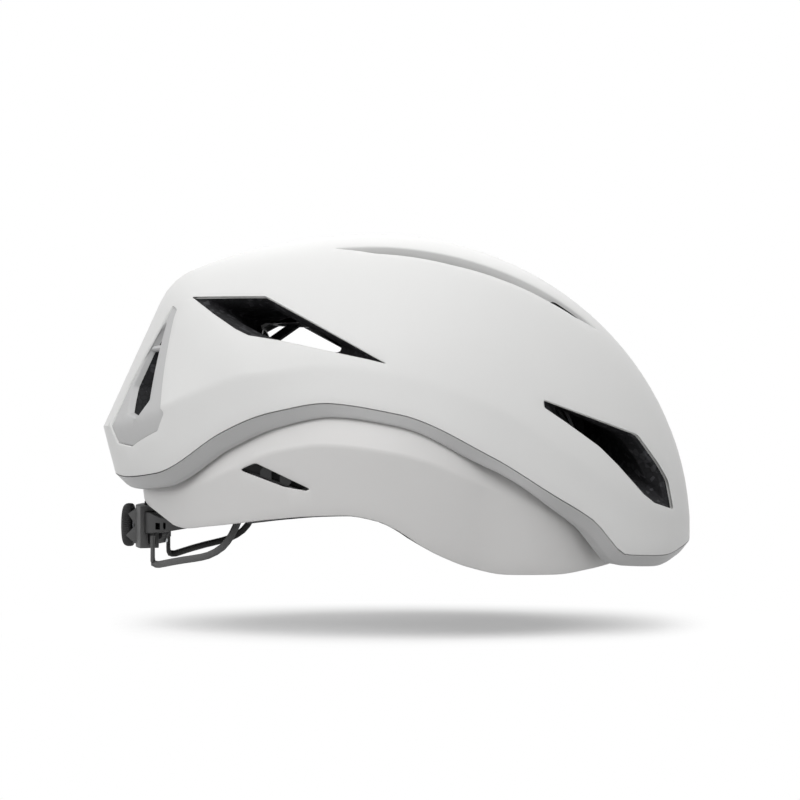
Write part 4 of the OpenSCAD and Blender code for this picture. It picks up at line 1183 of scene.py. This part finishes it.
@dataclass
class InnerBody:
    """Lower shell and foam of the inner liner."""

    workshop: Workshop

    def shell(self) -> None:
        """Build the white lower shell with its two small vents."""
        surface = PolarSurface(FORM.lower)
        azimuth = np.arange(0, 360, 1.6)
        ring = compass(azimuth)
        boundary = ring * (90 - FORM.rim_el(azimuth))[:, None]
        top = ring * (90 - FORM.skirt_top(azimuth))[:, None]
        rims = [Rim(boundary, 1.0, flange=0.2), Rim(top, flange=0.2)]
        rims += [LOW_VENT.rim(surface, side, 60.0, 0.2) for side in SIDES]

        def crease(a: np.ndarray) -> np.ndarray:
            return np.clip(FORM.low_crease(a), FORM.rim_el(a) + 1.5, FORM.skirt_top(a) - 1.5)

        interior = np.vstack([
            rings_between(FORM.rim_el, crease, [0.2, 0.4, 0.6, 0.8], 176),
            rings_between(lambda a: crease(a) - 0.7, lambda a: crease(a) + 0.7, [0, 0.5, 1], CREASE_POINTS),
            rings_between(crease, FORM.skirt_top, [0.3, 0.5, 0.7, 0.88])])
        obj = skin_piece("lower_shell_matt_white", surface, rims, interior, FORM.skin - 0.1, 0.6, 0.8)
        self.workshop.hand_over(obj, "inner_liner", "lower_white_shell", "lower_shell")

    def foam(self) -> None:
        """Build the inner foam liner with its tunnels and pockets."""
        depth = FORM.skin + FORM.seat
        dome = FORM.slip_radius - FORM.liner_skin - FORM.seat - FORM.facet_sag

        def outer(azimuth: np.ndarray, share: np.ndarray) -> np.ndarray:
            rim, top = FORM.rim_el(azimuth), FORM.skirt_top(azimuth)
            el = np.where(share < 0.35, rim + (top - 0.6 - rim) * share / 0.35,
                          top + 0.3 + (89.7 - top) * (share - 0.35) / 0.65)
            return polar(azimuth, el, np.where(share <= 0.35, FORM.lower(azimuth, el) - depth, dome))

        def inner(azimuth: np.ndarray, share: np.ndarray) -> np.ndarray:
            rim = FORM.rim_el(azimuth)
            el = rim + (90 - rim) * share
            soft = 1 + 0.02 * (1 - np.clip(share / 0.04, 0, 1)) ** 2
            return polar(azimuth, el, FORM.cavity(azimuth, el) * soft)

        obj = sphere_form("inner_foam_liner", outer, inner, 144, 72)
        straight = Opening(REAR_SIDE_INNER, Facing.SIDE)
        cutters = [tunnel("brow_cutter", BROW_PORT, 1, [(170, None, 0.4), (40, None, 0.4)]),
                   tunnel("rear_side_cutter", straight, 1, [(125, None, 0), (-125, None, 0)])]
        for side in SIDES:
            front = Opening(FRONT_SIDE_INNER, Facing.SIDE)
            well = Opening(LOW_VENT_WELL, Facing.SIDE)
            cutters += [tunnel("front_side_cutter", front, side, [(125, None, 0), (10, None, 0)]),
                        tunnel("slit_cutter", TOP_SLIT, side, [(170, None, 0), (90, None, 0)]),
                        tunnel("exhaust_cutter", EXHAUST, side, [(170, None, 0), (60, None, 0)]),
                        tunnel("well_cutter", well, side, [(125, None, 1.1), (80, None, 1.1)])]
        cutters.append(box_cutter(*LADDER_SLOT))
        cutters += [rod_cutter((x, y, z - 20), (x, y, z + ANCHOR_HEIGHT), ANCHOR_RADIUS, 32)
                    for x, y, z in ANCHORS]
        cutters += [arc_sweep("arm_room_cutter", ARM_ROOM, a, b, 33) for a, b in ((20, 85), (-85, -20))]
        cut(obj, cutters)
        self.workshop.hand_over(obj, "inner_liner", "charcoal_foam", "inner_liner_foam", angle=30)

    def build(self) -> None:
        """Build every piece of the inner body."""
        self.shell()
        self.foam()


# The fit system

# Side views, as [x, z], of an arm's lower and upper edge
ARM_LOW = ((-126, 15), (-113.5, 16.8), (-98, 20), (-80, 23.2), (-66, 25.2))
ARM_HIGH = ((-126, 26.5), (-118, 26), (-112, 24.3), (-107, 24.1), (-98, 25.6), (-84, 30), (-66, 31))
# The notched side view of the housing's cheeks
CHEEK = ((-130.8, 24.7), (-127.2, 19.2), (-131.9, 14.3), (-128, 10.6), (-124.4, 9), (-117, 11),
         (-117, 28), (-121.5, 28.5), (-126.5, 28))


class Arc:
    """The arc about a vertical axis that the cradle's parts follow."""

    x = -62.0

    @classmethod
    def at(cls, angle: float, radius: float, z: float, side: int = 1) -> np.ndarray:
        """Give the point at an angle from the rear, a radius and a height."""
        a = math.radians(angle)
        return np.array([cls.x - radius * math.cos(a), side * radius * math.sin(a), z])


def arc_sweep(name: str, section: Sequence[tuple[float, float]], start: float, end: float,
              steps: int) -> bpy.types.Object:
    """Sweep a section of (radius, z) points along the cradle's arc between two angles."""
    rows = [[Arc.at(a, r, z) for r, z in section] for a in np.linspace(start, end, steps)]
    return grid_form(name, np.array(rows))


def soften(obj: bpy.types.Object, width: float, segments: int = 2, angle: float = 32.0) -> None:
    """Bevel an object's edges that are sharper than an angle, by a width in millimetres."""
    apply_modifier(obj, "BEVEL", width=width * MM, segments=segments, limit_method="ANGLE",
                   angle_limit=math.radians(angle), use_clamp_overlap=True)


def box_cutter(low: Sequence[float], high: Sequence[float]) -> bpy.types.Object:
    """Build a box-shaped cutter between two corners in millimetres."""
    low, high = np.array(low, float), np.array(high, float)
    deselect()
    bpy.ops.mesh.primitive_cube_add(size=1, location=(low + high) / 2 * MM)
    obj = bpy.context.object
    obj.scale = (high - low) * MM
    bpy.ops.object.transform_apply()
    return obj


def rod_cutter(start: Sequence[float], end: Sequence[float], radius: float,
               vertices: int = 48) -> bpy.types.Object:
    """Build a round cutter between two points in millimetres."""
    a, b = Vector(start) * MM, Vector(end) * MM
    deselect()
    turn = (b - a).to_track_quat("Z", "Y").to_euler()
    bpy.ops.mesh.primitive_cylinder_add(vertices=vertices, radius=radius * MM, depth=(b - a).length,
                                        location=(a + b) / 2, rotation=turn)
    bpy.ops.object.transform_apply()
    return bpy.context.object


def joined(name: str, parts: Sequence[bpy.types.Object]) -> bpy.types.Object:
    """Join objects into one of the given name."""
    deselect()
    for part in parts:
        part.select_set(True)
    bpy.context.view_layer.objects.active = parts[0]
    bpy.ops.object.join()
    parts[0].name = parts[0].data.name = name
    return parts[0]


@dataclass
class FitSystem:
    """Dial, housing, arms and wire loops of the cradle."""

    workshop: Workshop
    dial_x: float = -129.8
    dial_z: float = 18.6
    dial_radius: float = 10.6
    rim_depth: float = 5.4
    core_radius: float = 8.3
    case_radius: float = 62.7
    case_wall: float = 3.9
    case_low: float = 8.6
    case_high: float = 28.6
    case_angle: float = 22.0
    cover_radius: float = 59.3
    arm_inside: float = 62.9
    arm_thickness: float = 1.7
    arm_end: float = 82.0
    strip_half: float = 1.68

    def dial(self) -> None:
        """Build the dial's knurled rim, with grips that run round its rear edge."""
        columns, grips, depth = 432, 72, 0.34
        around = np.arange(columns) * 2 * math.pi / columns
        x0, r = self.dial_x - self.rim_depth - 0.1, self.dial_radius
        inner = self.core_radius + 0.05
        # Way in from the rear edge, radius, and the share of a groove that goes forward and inward
        profile = ((0.9, inner, 0, 0), (0.5, r - 3.6, 0, 0), (0.0, r - 2.9, 0, 0), (0.06, r - 2.3, 0.9, 0.2),
                   (0.3, r - 1.5, 0.9, 0.5), (0.8, r - 0.75, 0.7, 0.8), (1.6, r - 0.22, 0.3, 1),
                   (2.6, r, 0, 1), (3.8, r, 0, 1), (4.6, r - 0.15, 0, 1), (5.1, r - 0.5, 0, 0.5),
                   (5.4, r - 1.0, 0, 0), (5.4, inner, 0, 0))
        groove = depth * (0.5 - 0.5 * np.cos(around * grips)) ** 0.7
        rows = []
        for dx, radius, forward, inward in profile + profile[:1]:
            ring = radius - groove * inward
            rows.append(np.stack([x0 + dx + groove * forward, ring * np.cos(around),
                                  self.dial_z + ring * np.sin(around)], 1))
        obj = grid_form("fit_dial_rim", np.array(rows), caps=False)
        self.workshop.hand_over(obj, "dial", "black_plastic", "dial_rim", angle=50)

    def cheek(self, side: int) -> bpy.types.Object:
        """Build one notched cheek of the housing, folded outwards along its middle."""
        gap, wall, fold_z, lean = 11.4, 5.0, 18.8, 0.17
        flat = np.array(CHEEK, float)
        bent = [wall - lean * abs(z - fold_z) for _, z in flat]
        inner = [[x, side * gap, z] for x, z in flat]
        outer = [[x, side * (gap + b), z] for (x, z), b in zip(flat, bent)]
        ridge = [[-127.2, side * (gap + wall), fold_z], [-117, side * (gap + wall), fold_z]]
        n = len(flat)
        points = np.array(inner + outer + ridge)
        faces = [tuple(range(n))] + [(i, (i + 1) % n, n + (i + 1) % n, n + i) for i in range(n)]
        # Upper and lower half of the folded face meet along the ridge, from the notch (corner 1)
        upper = [n + 0, n + 1, 2 * n, 2 * n + 1, n + 6, n + 7, n + 8]
        lower = [n + 1, n + 2, n + 3, n + 4, n + 5, 2 * n + 1, 2 * n]
        faces += [tuple(upper), tuple(lower), (n + 5, n + 6, 2 * n + 1)]
        obj = mesh_object("cheek", points, faces)
        apply_modifier(obj, "TRIANGULATE")
        return obj

    def housing(self) -> None:
        """Build the grey housing: curved case, boss and two notched cheeks."""
        r0, r1, r2 = self.cover_radius, self.case_radius, self.case_radius + self.case_wall
        flange = 2.0
        low, high = self.case_low, self.case_high
        section = [(r2, low), (r2, high), (r0, high), (r0, high - flange),
                   (r1, high - flange), (r1, low + flange), (r0, low + flange), (r0, low)]
        case = arc_sweep("yoke_housing_grey", section, -self.case_angle, self.case_angle, 25)
        cheeks = [self.cheek(side) for side in SIDES]
        for cheek in cheeks:
            cut(cheek, [rod_cutter((Arc.x, 0, 0), (Arc.x, 0, 60), r1 + 1, 160)])
        boss = rod_cutter((-129.3, 0, self.dial_z), (-126.8, 0, self.dial_z), self.core_radius - 0.3, 64)
        cut(case, cheeks + [boss], "UNION")
        holes = [rod_cutter((-150, 0, self.dial_z), (-115, 0, self.dial_z), 3.06)]
        for a in (-self.case_angle + 3, self.case_angle - 3):
            for z in (low + 1.0, high - 1.0):
                holes.append(rod_cutter(Arc.at(a, 55, z), Arc.at(a, 64, z), 0.76, 24))
        cut(case, holes)
        soften(case, 0.45)
        self.workshop.hand_over(case, "cradle", "housing_grey", "yoke_housing")

    def arms(self) -> None:
        """Build the two arms, which taper and rise under the rim and carry slots near the housing."""
        parts = []
        low, high = np.array(ARM_LOW, float).T, np.array(ARM_HIGH, float).T
        r0, r1, b = self.arm_inside, self.arm_inside + self.arm_thickness, 0.35
        for side in SIDES:
            rows = []
            for a in np.linspace(self.case_angle + 0.1, self.arm_end, 49):
                x = Arc.at(a, (r0 + r1) / 2, 0)[0]
                z0, z1 = np.interp(x, *low), np.interp(x, *high)
                section = ((r0, z0 + b), (r0 + b, z0), (r1 - b, z0), (r1, z0 + b),
                           (r1, z1 - b), (r1 - b, z1), (r0 + b, z1), (r0, z1 - b))
                rows.append([Arc.at(a, r, z, side) for r, z in section])
            arm = grid_form("arm", np.array(rows))
            slots = [box_cutter((x0, min(side * 10, side * 60), z0), (x1, max(side * 10, side * 60), z1))
                     for x0, x1, z0, z1 in ((-115.2, -112.6, 18.4, 21.6), (-110.9, -109.5, 18.8, 22.0))]
            cut(arm, slots)
            soften(arm, 0.12, 1, 50)
            parts.append(arm)
        obj = joined("yoke_arms_black", parts)
        self.workshop.hand_over(obj, "cradle", "black_plastic", "yoke_arms")

    def loops(self) -> None:
        """Build the two loops: flat strips that turn on edge along the nape."""
        middle = self.arm_inside + self.arm_thickness / 2
        square = 0.6
        # Angle, way out past the arm's middle, height, and how far the strip stands on edge
        stations = ((32, 0.8, 15.2, 0), (32, 0.8, 11, 0), (32, 0.8, 7.5, 0), (32, 0.8, 5.0, 0.1),
                    (32.1, 0.75, 3.3, 0.3), (32.7, 0.5, 2.2, 0.6), (33.9, 0.0, 1.75, 0.9),
                    (35.6, -0.5, 1.75, 1), (40, -0.3, 2.5, 1),
                    (47, 0.4, 3.8, 1), (54.5, 1.5, 5.15, 1), (60, 2.4, 6.1, 1), (64.2, 3.1, 6.95, 1),
                    (67.4, 3.4, 7.9, 1), (70.6, 3.1, 9.6, 1), (73.4, 2.6, 11.9, 1), (75.4, 2.15, 14.6, 1),
                    (77.1, 1.6, 17.8, 1), (78.6, 0.8, 21.6, 1), (79.6, 0.2, 24.6, 0.9))
        for side, slot, node in ((1, "wire_black", "left_wire_loop"), (-1, "wire_grey", "right_wire_loop")):
            path = np.array([Arc.at(a, middle + out, z, side) for a, out, z, _ in stations])
            tangent = unit(np.gradient(path, axis=0))
            rows = []
            for p, t, (_, _, _, edge) in zip(path, tangent, stations):
                wide = unit(np.array([0.0, 1.0, 0.0]) * (1 - edge) + np.array([0.0, 0.0, 1.0]) * edge
                            + np.array([0.2, 0, 0]) * edge * (1 - edge))
                wide = unit(wide - t * float(wide @ t))
                thin = np.cross(t, wide)
                ring = []
                for w in np.linspace(0, 2 * math.pi, 20, endpoint=False):
                    c, q = math.cos(w), math.sin(w)
                    across = wide * self.strip_half * math.copysign(abs(c) ** square, c)
                    ring.append(p + across + thin * 1.0 * math.copysign(abs(q) ** square, q))
                rows.append(ring)
            obj = grid_form(node + "_strip", np.array(rows))
            self.workshop.hand_over(obj, "cradle", slot, node, angle=50)

    def build(self) -> None:
        """Build the fit system's pieces."""
        self.dial()
        self.housing()
        self.arms()
        self.loops()


# Comfort pads


@dataclass(frozen=True)
class PadPlace:
    """A pad on the cavity's wall: its middle and half its size, in degrees, its lift and its channels.

    A channel is (u, v) to (u, v), where both run from -1 to 1 across the pad.
    """

    azimuth: float
    elevation: float
    half_azimuth: float
    half_elevation: float
    lift: float
    channels: tuple[tuple[float, float, float, float], ...] = ()

    def at(self, u: np.ndarray, v: np.ndarray, depth: float) -> np.ndarray:
        """Give points at shares of the pad's width and height, a depth in from its seat."""
        def drawn_in(w: np.ndarray) -> np.ndarray:
            return 1 - 0.12 * np.abs(w) ** 3 - 0.05 * (1 - w * w)

        azimuth = self.azimuth + self.half_azimuth * u * drawn_in(v)
        elevation = self.elevation + self.half_elevation * v * drawn_in(u)
        return polar(azimuth, elevation, FORM.cavity(azimuth, elevation) - self.lift - depth)

    def border(self, share: float, depth: float, corner: float = 0.2) -> np.ndarray:
        """Give the closed line round the pad at a share of its size."""
        box = rounded(((-1, -1), (1, -1), (1, 1), (-1, 1)), corner, 0.02) * share
        line = self.at(box[:, 0], box[:, 1], depth)
        return resampled(line, max(40, int(np.linalg.norm(np.diff(line, axis=0), axis=1).sum() / 1.2)))

    def channel(self, line: tuple[float, float, float, float], count: int = 60) -> np.ndarray:
        """Give points along one channel, on the pad's seat."""
        u0, v0, u1, v1 = line
        s = np.linspace(0, 1, count)
        return self.at(u0 + (u1 - u0) * s, v0 + (v1 - v0) * s, 0.0)


@dataclass
class ComfortPads:
    """The knitted pads inside the helmet and on its cradle."""

    workshop: Workshop
    voxel: float = 1.4
    shrink: float = 0.5
    most_move: float = 0.9
    pressure: float = 4.0
    binding_radius: float = 0.75
    channel_depth: float = 1.1
    channel_width: float = 1.0
    channel_floor: float = 1.6
    cloth_mass: float = 0.0002
    frames: int = 20
    places: dict[str, tuple[PadPlace, ...]] = field(default_factory=lambda: {
        "brow_pad": (PadPlace(0, 5.5, 52, 5.5, 1.5,
                              tuple((u, -0.75, u, 0.75) for u in (-0.75, -0.45, -0.15, 0.15, 0.45, 0.75))),),
        "crown_pads": (PadPlace(0, 64, 22, 10, 0.9, ((-0.7, 0, 0.7, 0),)),
                       PadPlace(150, 47, 9, 6, 0.9, ((0, -0.7, 0, 0.7),)),
                       PadPlace(-150, 47, 9, 6, 0.9, ((0, -0.7, 0, 0.7),))),
        "side_pads": tuple(PadPlace(a, 22, 16, 7, 0.5, tuple((u, -0.75, u, 0.75) for u in (-0.35, 0.35)))
                           for a in (84, -84)),
        "rear_pads": (PadPlace(140, 27, 12, 8, 1.0, ((0, -0.75, 0, 0.75),)),
                      PadPlace(-140, 27, 12, 8, 1.0, ((0, -0.75, 0, 0.75),))),
        "occipital_pads": ()})

    def cushion(self, node: str) -> bpy.types.Object:
        """Inflate a copy of a node's solids into cushions that stay within a cap of their start.

        Args:
            node: The CAD node, whose solids give the cushions their place and size.

        Returns:
            The cushions as one object.
        """
        source = self.workshop.frame["nodes"][node]
        obj = bpy.data.objects.new(node + "_fabric", source.data.copy())
        obj.data.transform(source.matrix_world)
        bpy.context.scene.collection.objects.link(obj)
        activate(obj)
        apply_modifier(obj, "REMESH", mode="VOXEL", voxel_size=self.voxel * MM)
        apply_modifier(obj, "DISPLACE", strength=-self.shrink * MM, mid_level=0.0)
        start = self.points(obj)
        cloth = obj.modifiers.new("inflation", "CLOTH")
        cloth.settings.use_pressure = True
        cloth.settings.uniform_pressure_force = self.pressure
        cloth.settings.mass = self.cloth_mass
        cloth.settings.effector_weights.gravity = 0
        cloth.point_cache.frame_start, cloth.point_cache.frame_end = 1, self.frames
        for frame in range(1, self.frames + 1):
            bpy.context.scene.frame_set(frame)
        bpy.ops.object.modifier_apply(modifier="inflation")
        bpy.context.scene.frame_set(1)
        moved = self.points(obj) - start
        far = np.linalg.norm(moved, axis=1, keepdims=True)
        LOG.info("%s swelled by up to %.2f mm", node, float(far.max()))
        set_points(obj, start + moved * np.minimum(1, self.most_move / np.maximum(far, 1e-9)))
        apply_modifier(obj, "SMOOTH", iterations=3, factor=0.5)
        apply_modifier(obj, "SUBSURF", levels=1)
        return obj

    @staticmethod
    def points(obj: bpy.types.Object) -> np.ndarray:
        """Read a mesh's points, in millimetres."""
        co = np.empty(len(obj.data.vertices) * 3, np.float32)
        obj.data.vertices.foreach_get("co", co)
        return co.reshape(-1, 3).astype(float) / MM

    def press_channels(self, obj: bpy.types.Object, pads: Sequence[PadPlace]) -> None:
        """Press the welded channels into the cushions' inner faces."""
        p = self.points(obj)
        d = p - CENTRE
        radius = np.linalg.norm(d, axis=1)
        azimuth = np.degrees(np.arctan2(d[:, 1], d[:, 0]))
        elevation = np.degrees(np.arcsin(d[:, 2] / radius))
        out = unit(d)
        push = np.zeros(len(p))
        for pad in pads:
            deep = FORM.cavity(azimuth, elevation) - pad.lift - radius
            for line in pad.channels:
                track = pad.channel(line)
                rays = unit(track - CENTRE)
                nearest = np.clip((out @ rays.T).max(axis=1), -1, 1)
                near = np.degrees(np.arccos(nearest)) * math.pi / 180 * radius
                dent = self.channel_depth * np.exp(-(near / self.channel_width) ** 2)
                push = np.maximum(push, dent * np.clip(deep - self.channel_floor, 0, 1))
        set_points(obj, p + out * push[:, None])

    def binding(self, pad: PadPlace, name: str) -> bpy.types.Object:
        """Build the bound edge round a pad."""
        line = pad.border(0.985, 0.75)
        tangent = unit(np.roll(line, -1, axis=0) - np.roll(line, 1, axis=0))
        out = unit(line - CENTRE)
        side = unit(np.cross(tangent, out))
        turn = np.arange(10) * math.tau / 10
        r = self.binding_radius
        rows = [line + side * r * math.cos(a) + out * r * 0.8 * math.sin(a) for a in turn]
        return grid_form(name, np.array(rows + rows[:1]), caps=False)

    def build(self) -> None:
        """Build every pad, its channels and its bound edge."""
        for node, pads in self.places.items():
            obj = self.cushion(node)
            self.press_channels(obj, pads)
            body = "inner_liner" if pads else "cradle"
            self.workshop.hand_over(obj, body, "pad_fabric", node, angle=70)
            if pads:
                bindings = joined(node + "_binding", [self.binding(pad, "binding") for pad in pads])
                self.workshop.hand_over(bindings, body, "pad_fabric", angle=70)


# The studio


@dataclass
class Studio:
    """Pale floor, soft light and the camera at the photograph's angle."""

    camera_at: tuple[float, float, float] = (1.2, -1050.0, 80.0)
    width_at_middle: float = 394.4
    sensor: float = 36.0
    floor_z: float = -30.0
    floor_lift: float = 0.34
    ambient: float = 0.38
    floor_bounce: str = "#cacaca"
    shadow_reach: tuple[float, float] = (190.0, 105.0)

    def camera(self) -> None:
        """Place the camera level with the helmet's middle, on its right side."""
        data = bpy.data.cameras.new("photo_camera")
        data.sensor_width = self.sensor
        data.lens = self.sensor * -self.camera_at[1] / self.width_at_middle
        data.clip_start = 0.01
        obj = bpy.data.objects.new("photo_camera", data)
        obj.location = [c * MM for c in self.camera_at]
        obj.rotation_euler = (math.pi / 2, 0, 0)
        bpy.context.scene.collection.objects.link(obj)
        bpy.context.scene.camera = obj

    def floor(self) -> None:
        """Lay the pale floor: white to the camera wherever nothing shades it, and plain paper to all else."""
        deselect()
        bpy.ops.mesh.primitive_plane_add(size=12, location=(0, 0, self.floor_z * MM))
        obj = bpy.context.object
        obj.name = "studio_floor"
        bpy.ops.object.transform_apply()
        material = bpy.data.materials.new("white_paper_floor")
        material.use_nodes = True
        tree = material.node_tree
        paper = tree.nodes["Principled BSDF"]
        paper.inputs["Base Color"].default_value = linear("#f2f2f2")
        paper.inputs["Roughness"].default_value = 0.9
        seen = self.seen_directly(tree)
        where = add_node(tree, "ShaderNodeTexCoord").outputs["Object"]
        reach = [1 / (r * MM) for r in self.shadow_reach] + [1.0]
        oval = add_node(tree, "ShaderNodeVectorMath", {0: where, 1: reach},
                        operation="MULTIPLY").outputs["Vector"]
        flat = add_node(tree, "ShaderNodeVectorMath", {0: oval, 1: (1, 1, 0)},
                        operation="MULTIPLY").outputs["Vector"]
        far = add_node(tree, "ShaderNodeVectorMath", {0: flat}, operation="LENGTH").outputs["Value"]
        fade = add_node(tree, "ShaderNodeMapRange", {"Value": far, "From Min": 0.35, "From Max": 1.1},
                        interpolation_type="SMOOTHSTEP").outputs["Result"]
        white = add_node(tree, "ShaderNodeEmission", {"Color": (1, 1, 1, 1), "Strength": 1.0})
        near = add_node(tree, "ShaderNodeEmission", {"Color": (1, 1, 1, 1), "Strength": self.floor_lift})
        lifted = add_node(tree, "ShaderNodeAddShader", {0: paper.outputs[0], 1: near.outputs[0]})
        view = add_node(tree, "ShaderNodeMixShader", {0: fade, 1: lifted.outputs[0], 2: white.outputs[0]})
        bounce = add_node(tree, "ShaderNodeBsdfDiffuse", {"Color": linear(self.floor_bounce)})
        whole = add_node(tree, "ShaderNodeMixShader", {0: seen, 1: bounce.outputs[0], 2: view.outputs[0]})
        # From beneath, the floor lets the eye through to the pads
        below = add_node(tree, "ShaderNodeNewGeometry").outputs["Backfacing"]
        clear = add_node(tree, "ShaderNodeBsdfTransparent")
        sides = add_node(tree, "ShaderNodeMixShader", {0: below, 1: whole.outputs[0], 2: clear.outputs[0]})
        tree.links.new(sides.outputs[0], tree.nodes["Material Output"].inputs["Surface"])
        obj.data.materials.append(material)

    @staticmethod
    def seen_directly(tree: bpy.types.NodeTree) -> bpy.types.NodeSocket:
        """Give 1 for rays from the camera and their reflections, and 0 for light on its way."""
        rays = add_node(tree, "ShaderNodeLightPath")
        seen = rays.outputs["Is Camera Ray"]
        for kind in ("Is Glossy Ray", "Is Transmission Ray"):
            seen = add_node(tree, "ShaderNodeMath", {0: seen, 1: rays.outputs[kind]},
                            operation="MAXIMUM").outputs[0]
        return seen

    def world(self) -> None:
        """Make the surroundings white to the camera and softly bright to the helmet."""
        world = bpy.data.worlds.new("studio_world")
        bpy.context.scene.world = world
        world.use_nodes = True
        tree = world.node_tree
        back = tree.nodes["Background"]
        level = add_node(tree, "ShaderNodeMapRange",
                         {"Value": self.seen_directly(tree), "To Min": self.ambient, "To Max": 1.0})
        tree.links.new(level.outputs["Result"], back.inputs["Strength"])
        back.inputs["Color"].default_value = (1, 1, 1, 1)

    def lamp(self, name: str, at: tuple[float, float, float], target: tuple[float, float, float],
             size: float, power: float) -> None:
        """Hang a square soft lamp.

        Args:
            name: Its name.
            at: Where it hangs, in metres.
            target: What it faces.
            size: Its side in metres.
            power: Its power in watts.
        """
        data = bpy.data.lights.new(name, "AREA")
        data.size = size
        data.energy = power
        obj = bpy.data.objects.new(name, data)
        obj.location = at
        obj.rotation_euler = (Vector(target) - Vector(at)).to_track_quat("-Z", "Y").to_euler()
        bpy.context.scene.collection.objects.link(obj)

    def build(self) -> None:
        """Set the stage."""
        self.camera()
        self.floor()
        self.world()
        self.lamp("top_softbox", (0.0, -0.2, 1.4), (0, 0, 0.05), 1.2, 5.0)
        self.lamp("near_softbox", (-0.1, -1.2, 1.3), (0, 0, 0.08), 1.1, 10.5)
        self.lamp("rear_softbox", (-1.3, -0.5, 0.6), (-0.08, 0, 0.06), 0.8, 3.0)
        self.lamp("far_softbox", (0.1, 1.3, 1.2), (0, 0, 0.08), 1.2, 6.0)
        bpy.context.scene.view_settings.view_transform = "Standard"


def main() -> None:
    """Build the helmet's looks round its CAD frame."""
    logging.basicConfig(level=logging.INFO, format="%(name)s: %(message)s")
    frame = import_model()
    Studio().build()
    workshop = Workshop(frame)
    workshop.dress_nodes()
    OuterBody(workshop).build()
    InnerBody(workshop).build()
    FitSystem(workshop).build()
    ComfortPads(workshop).build()


if __name__ == "__main__":
    main()
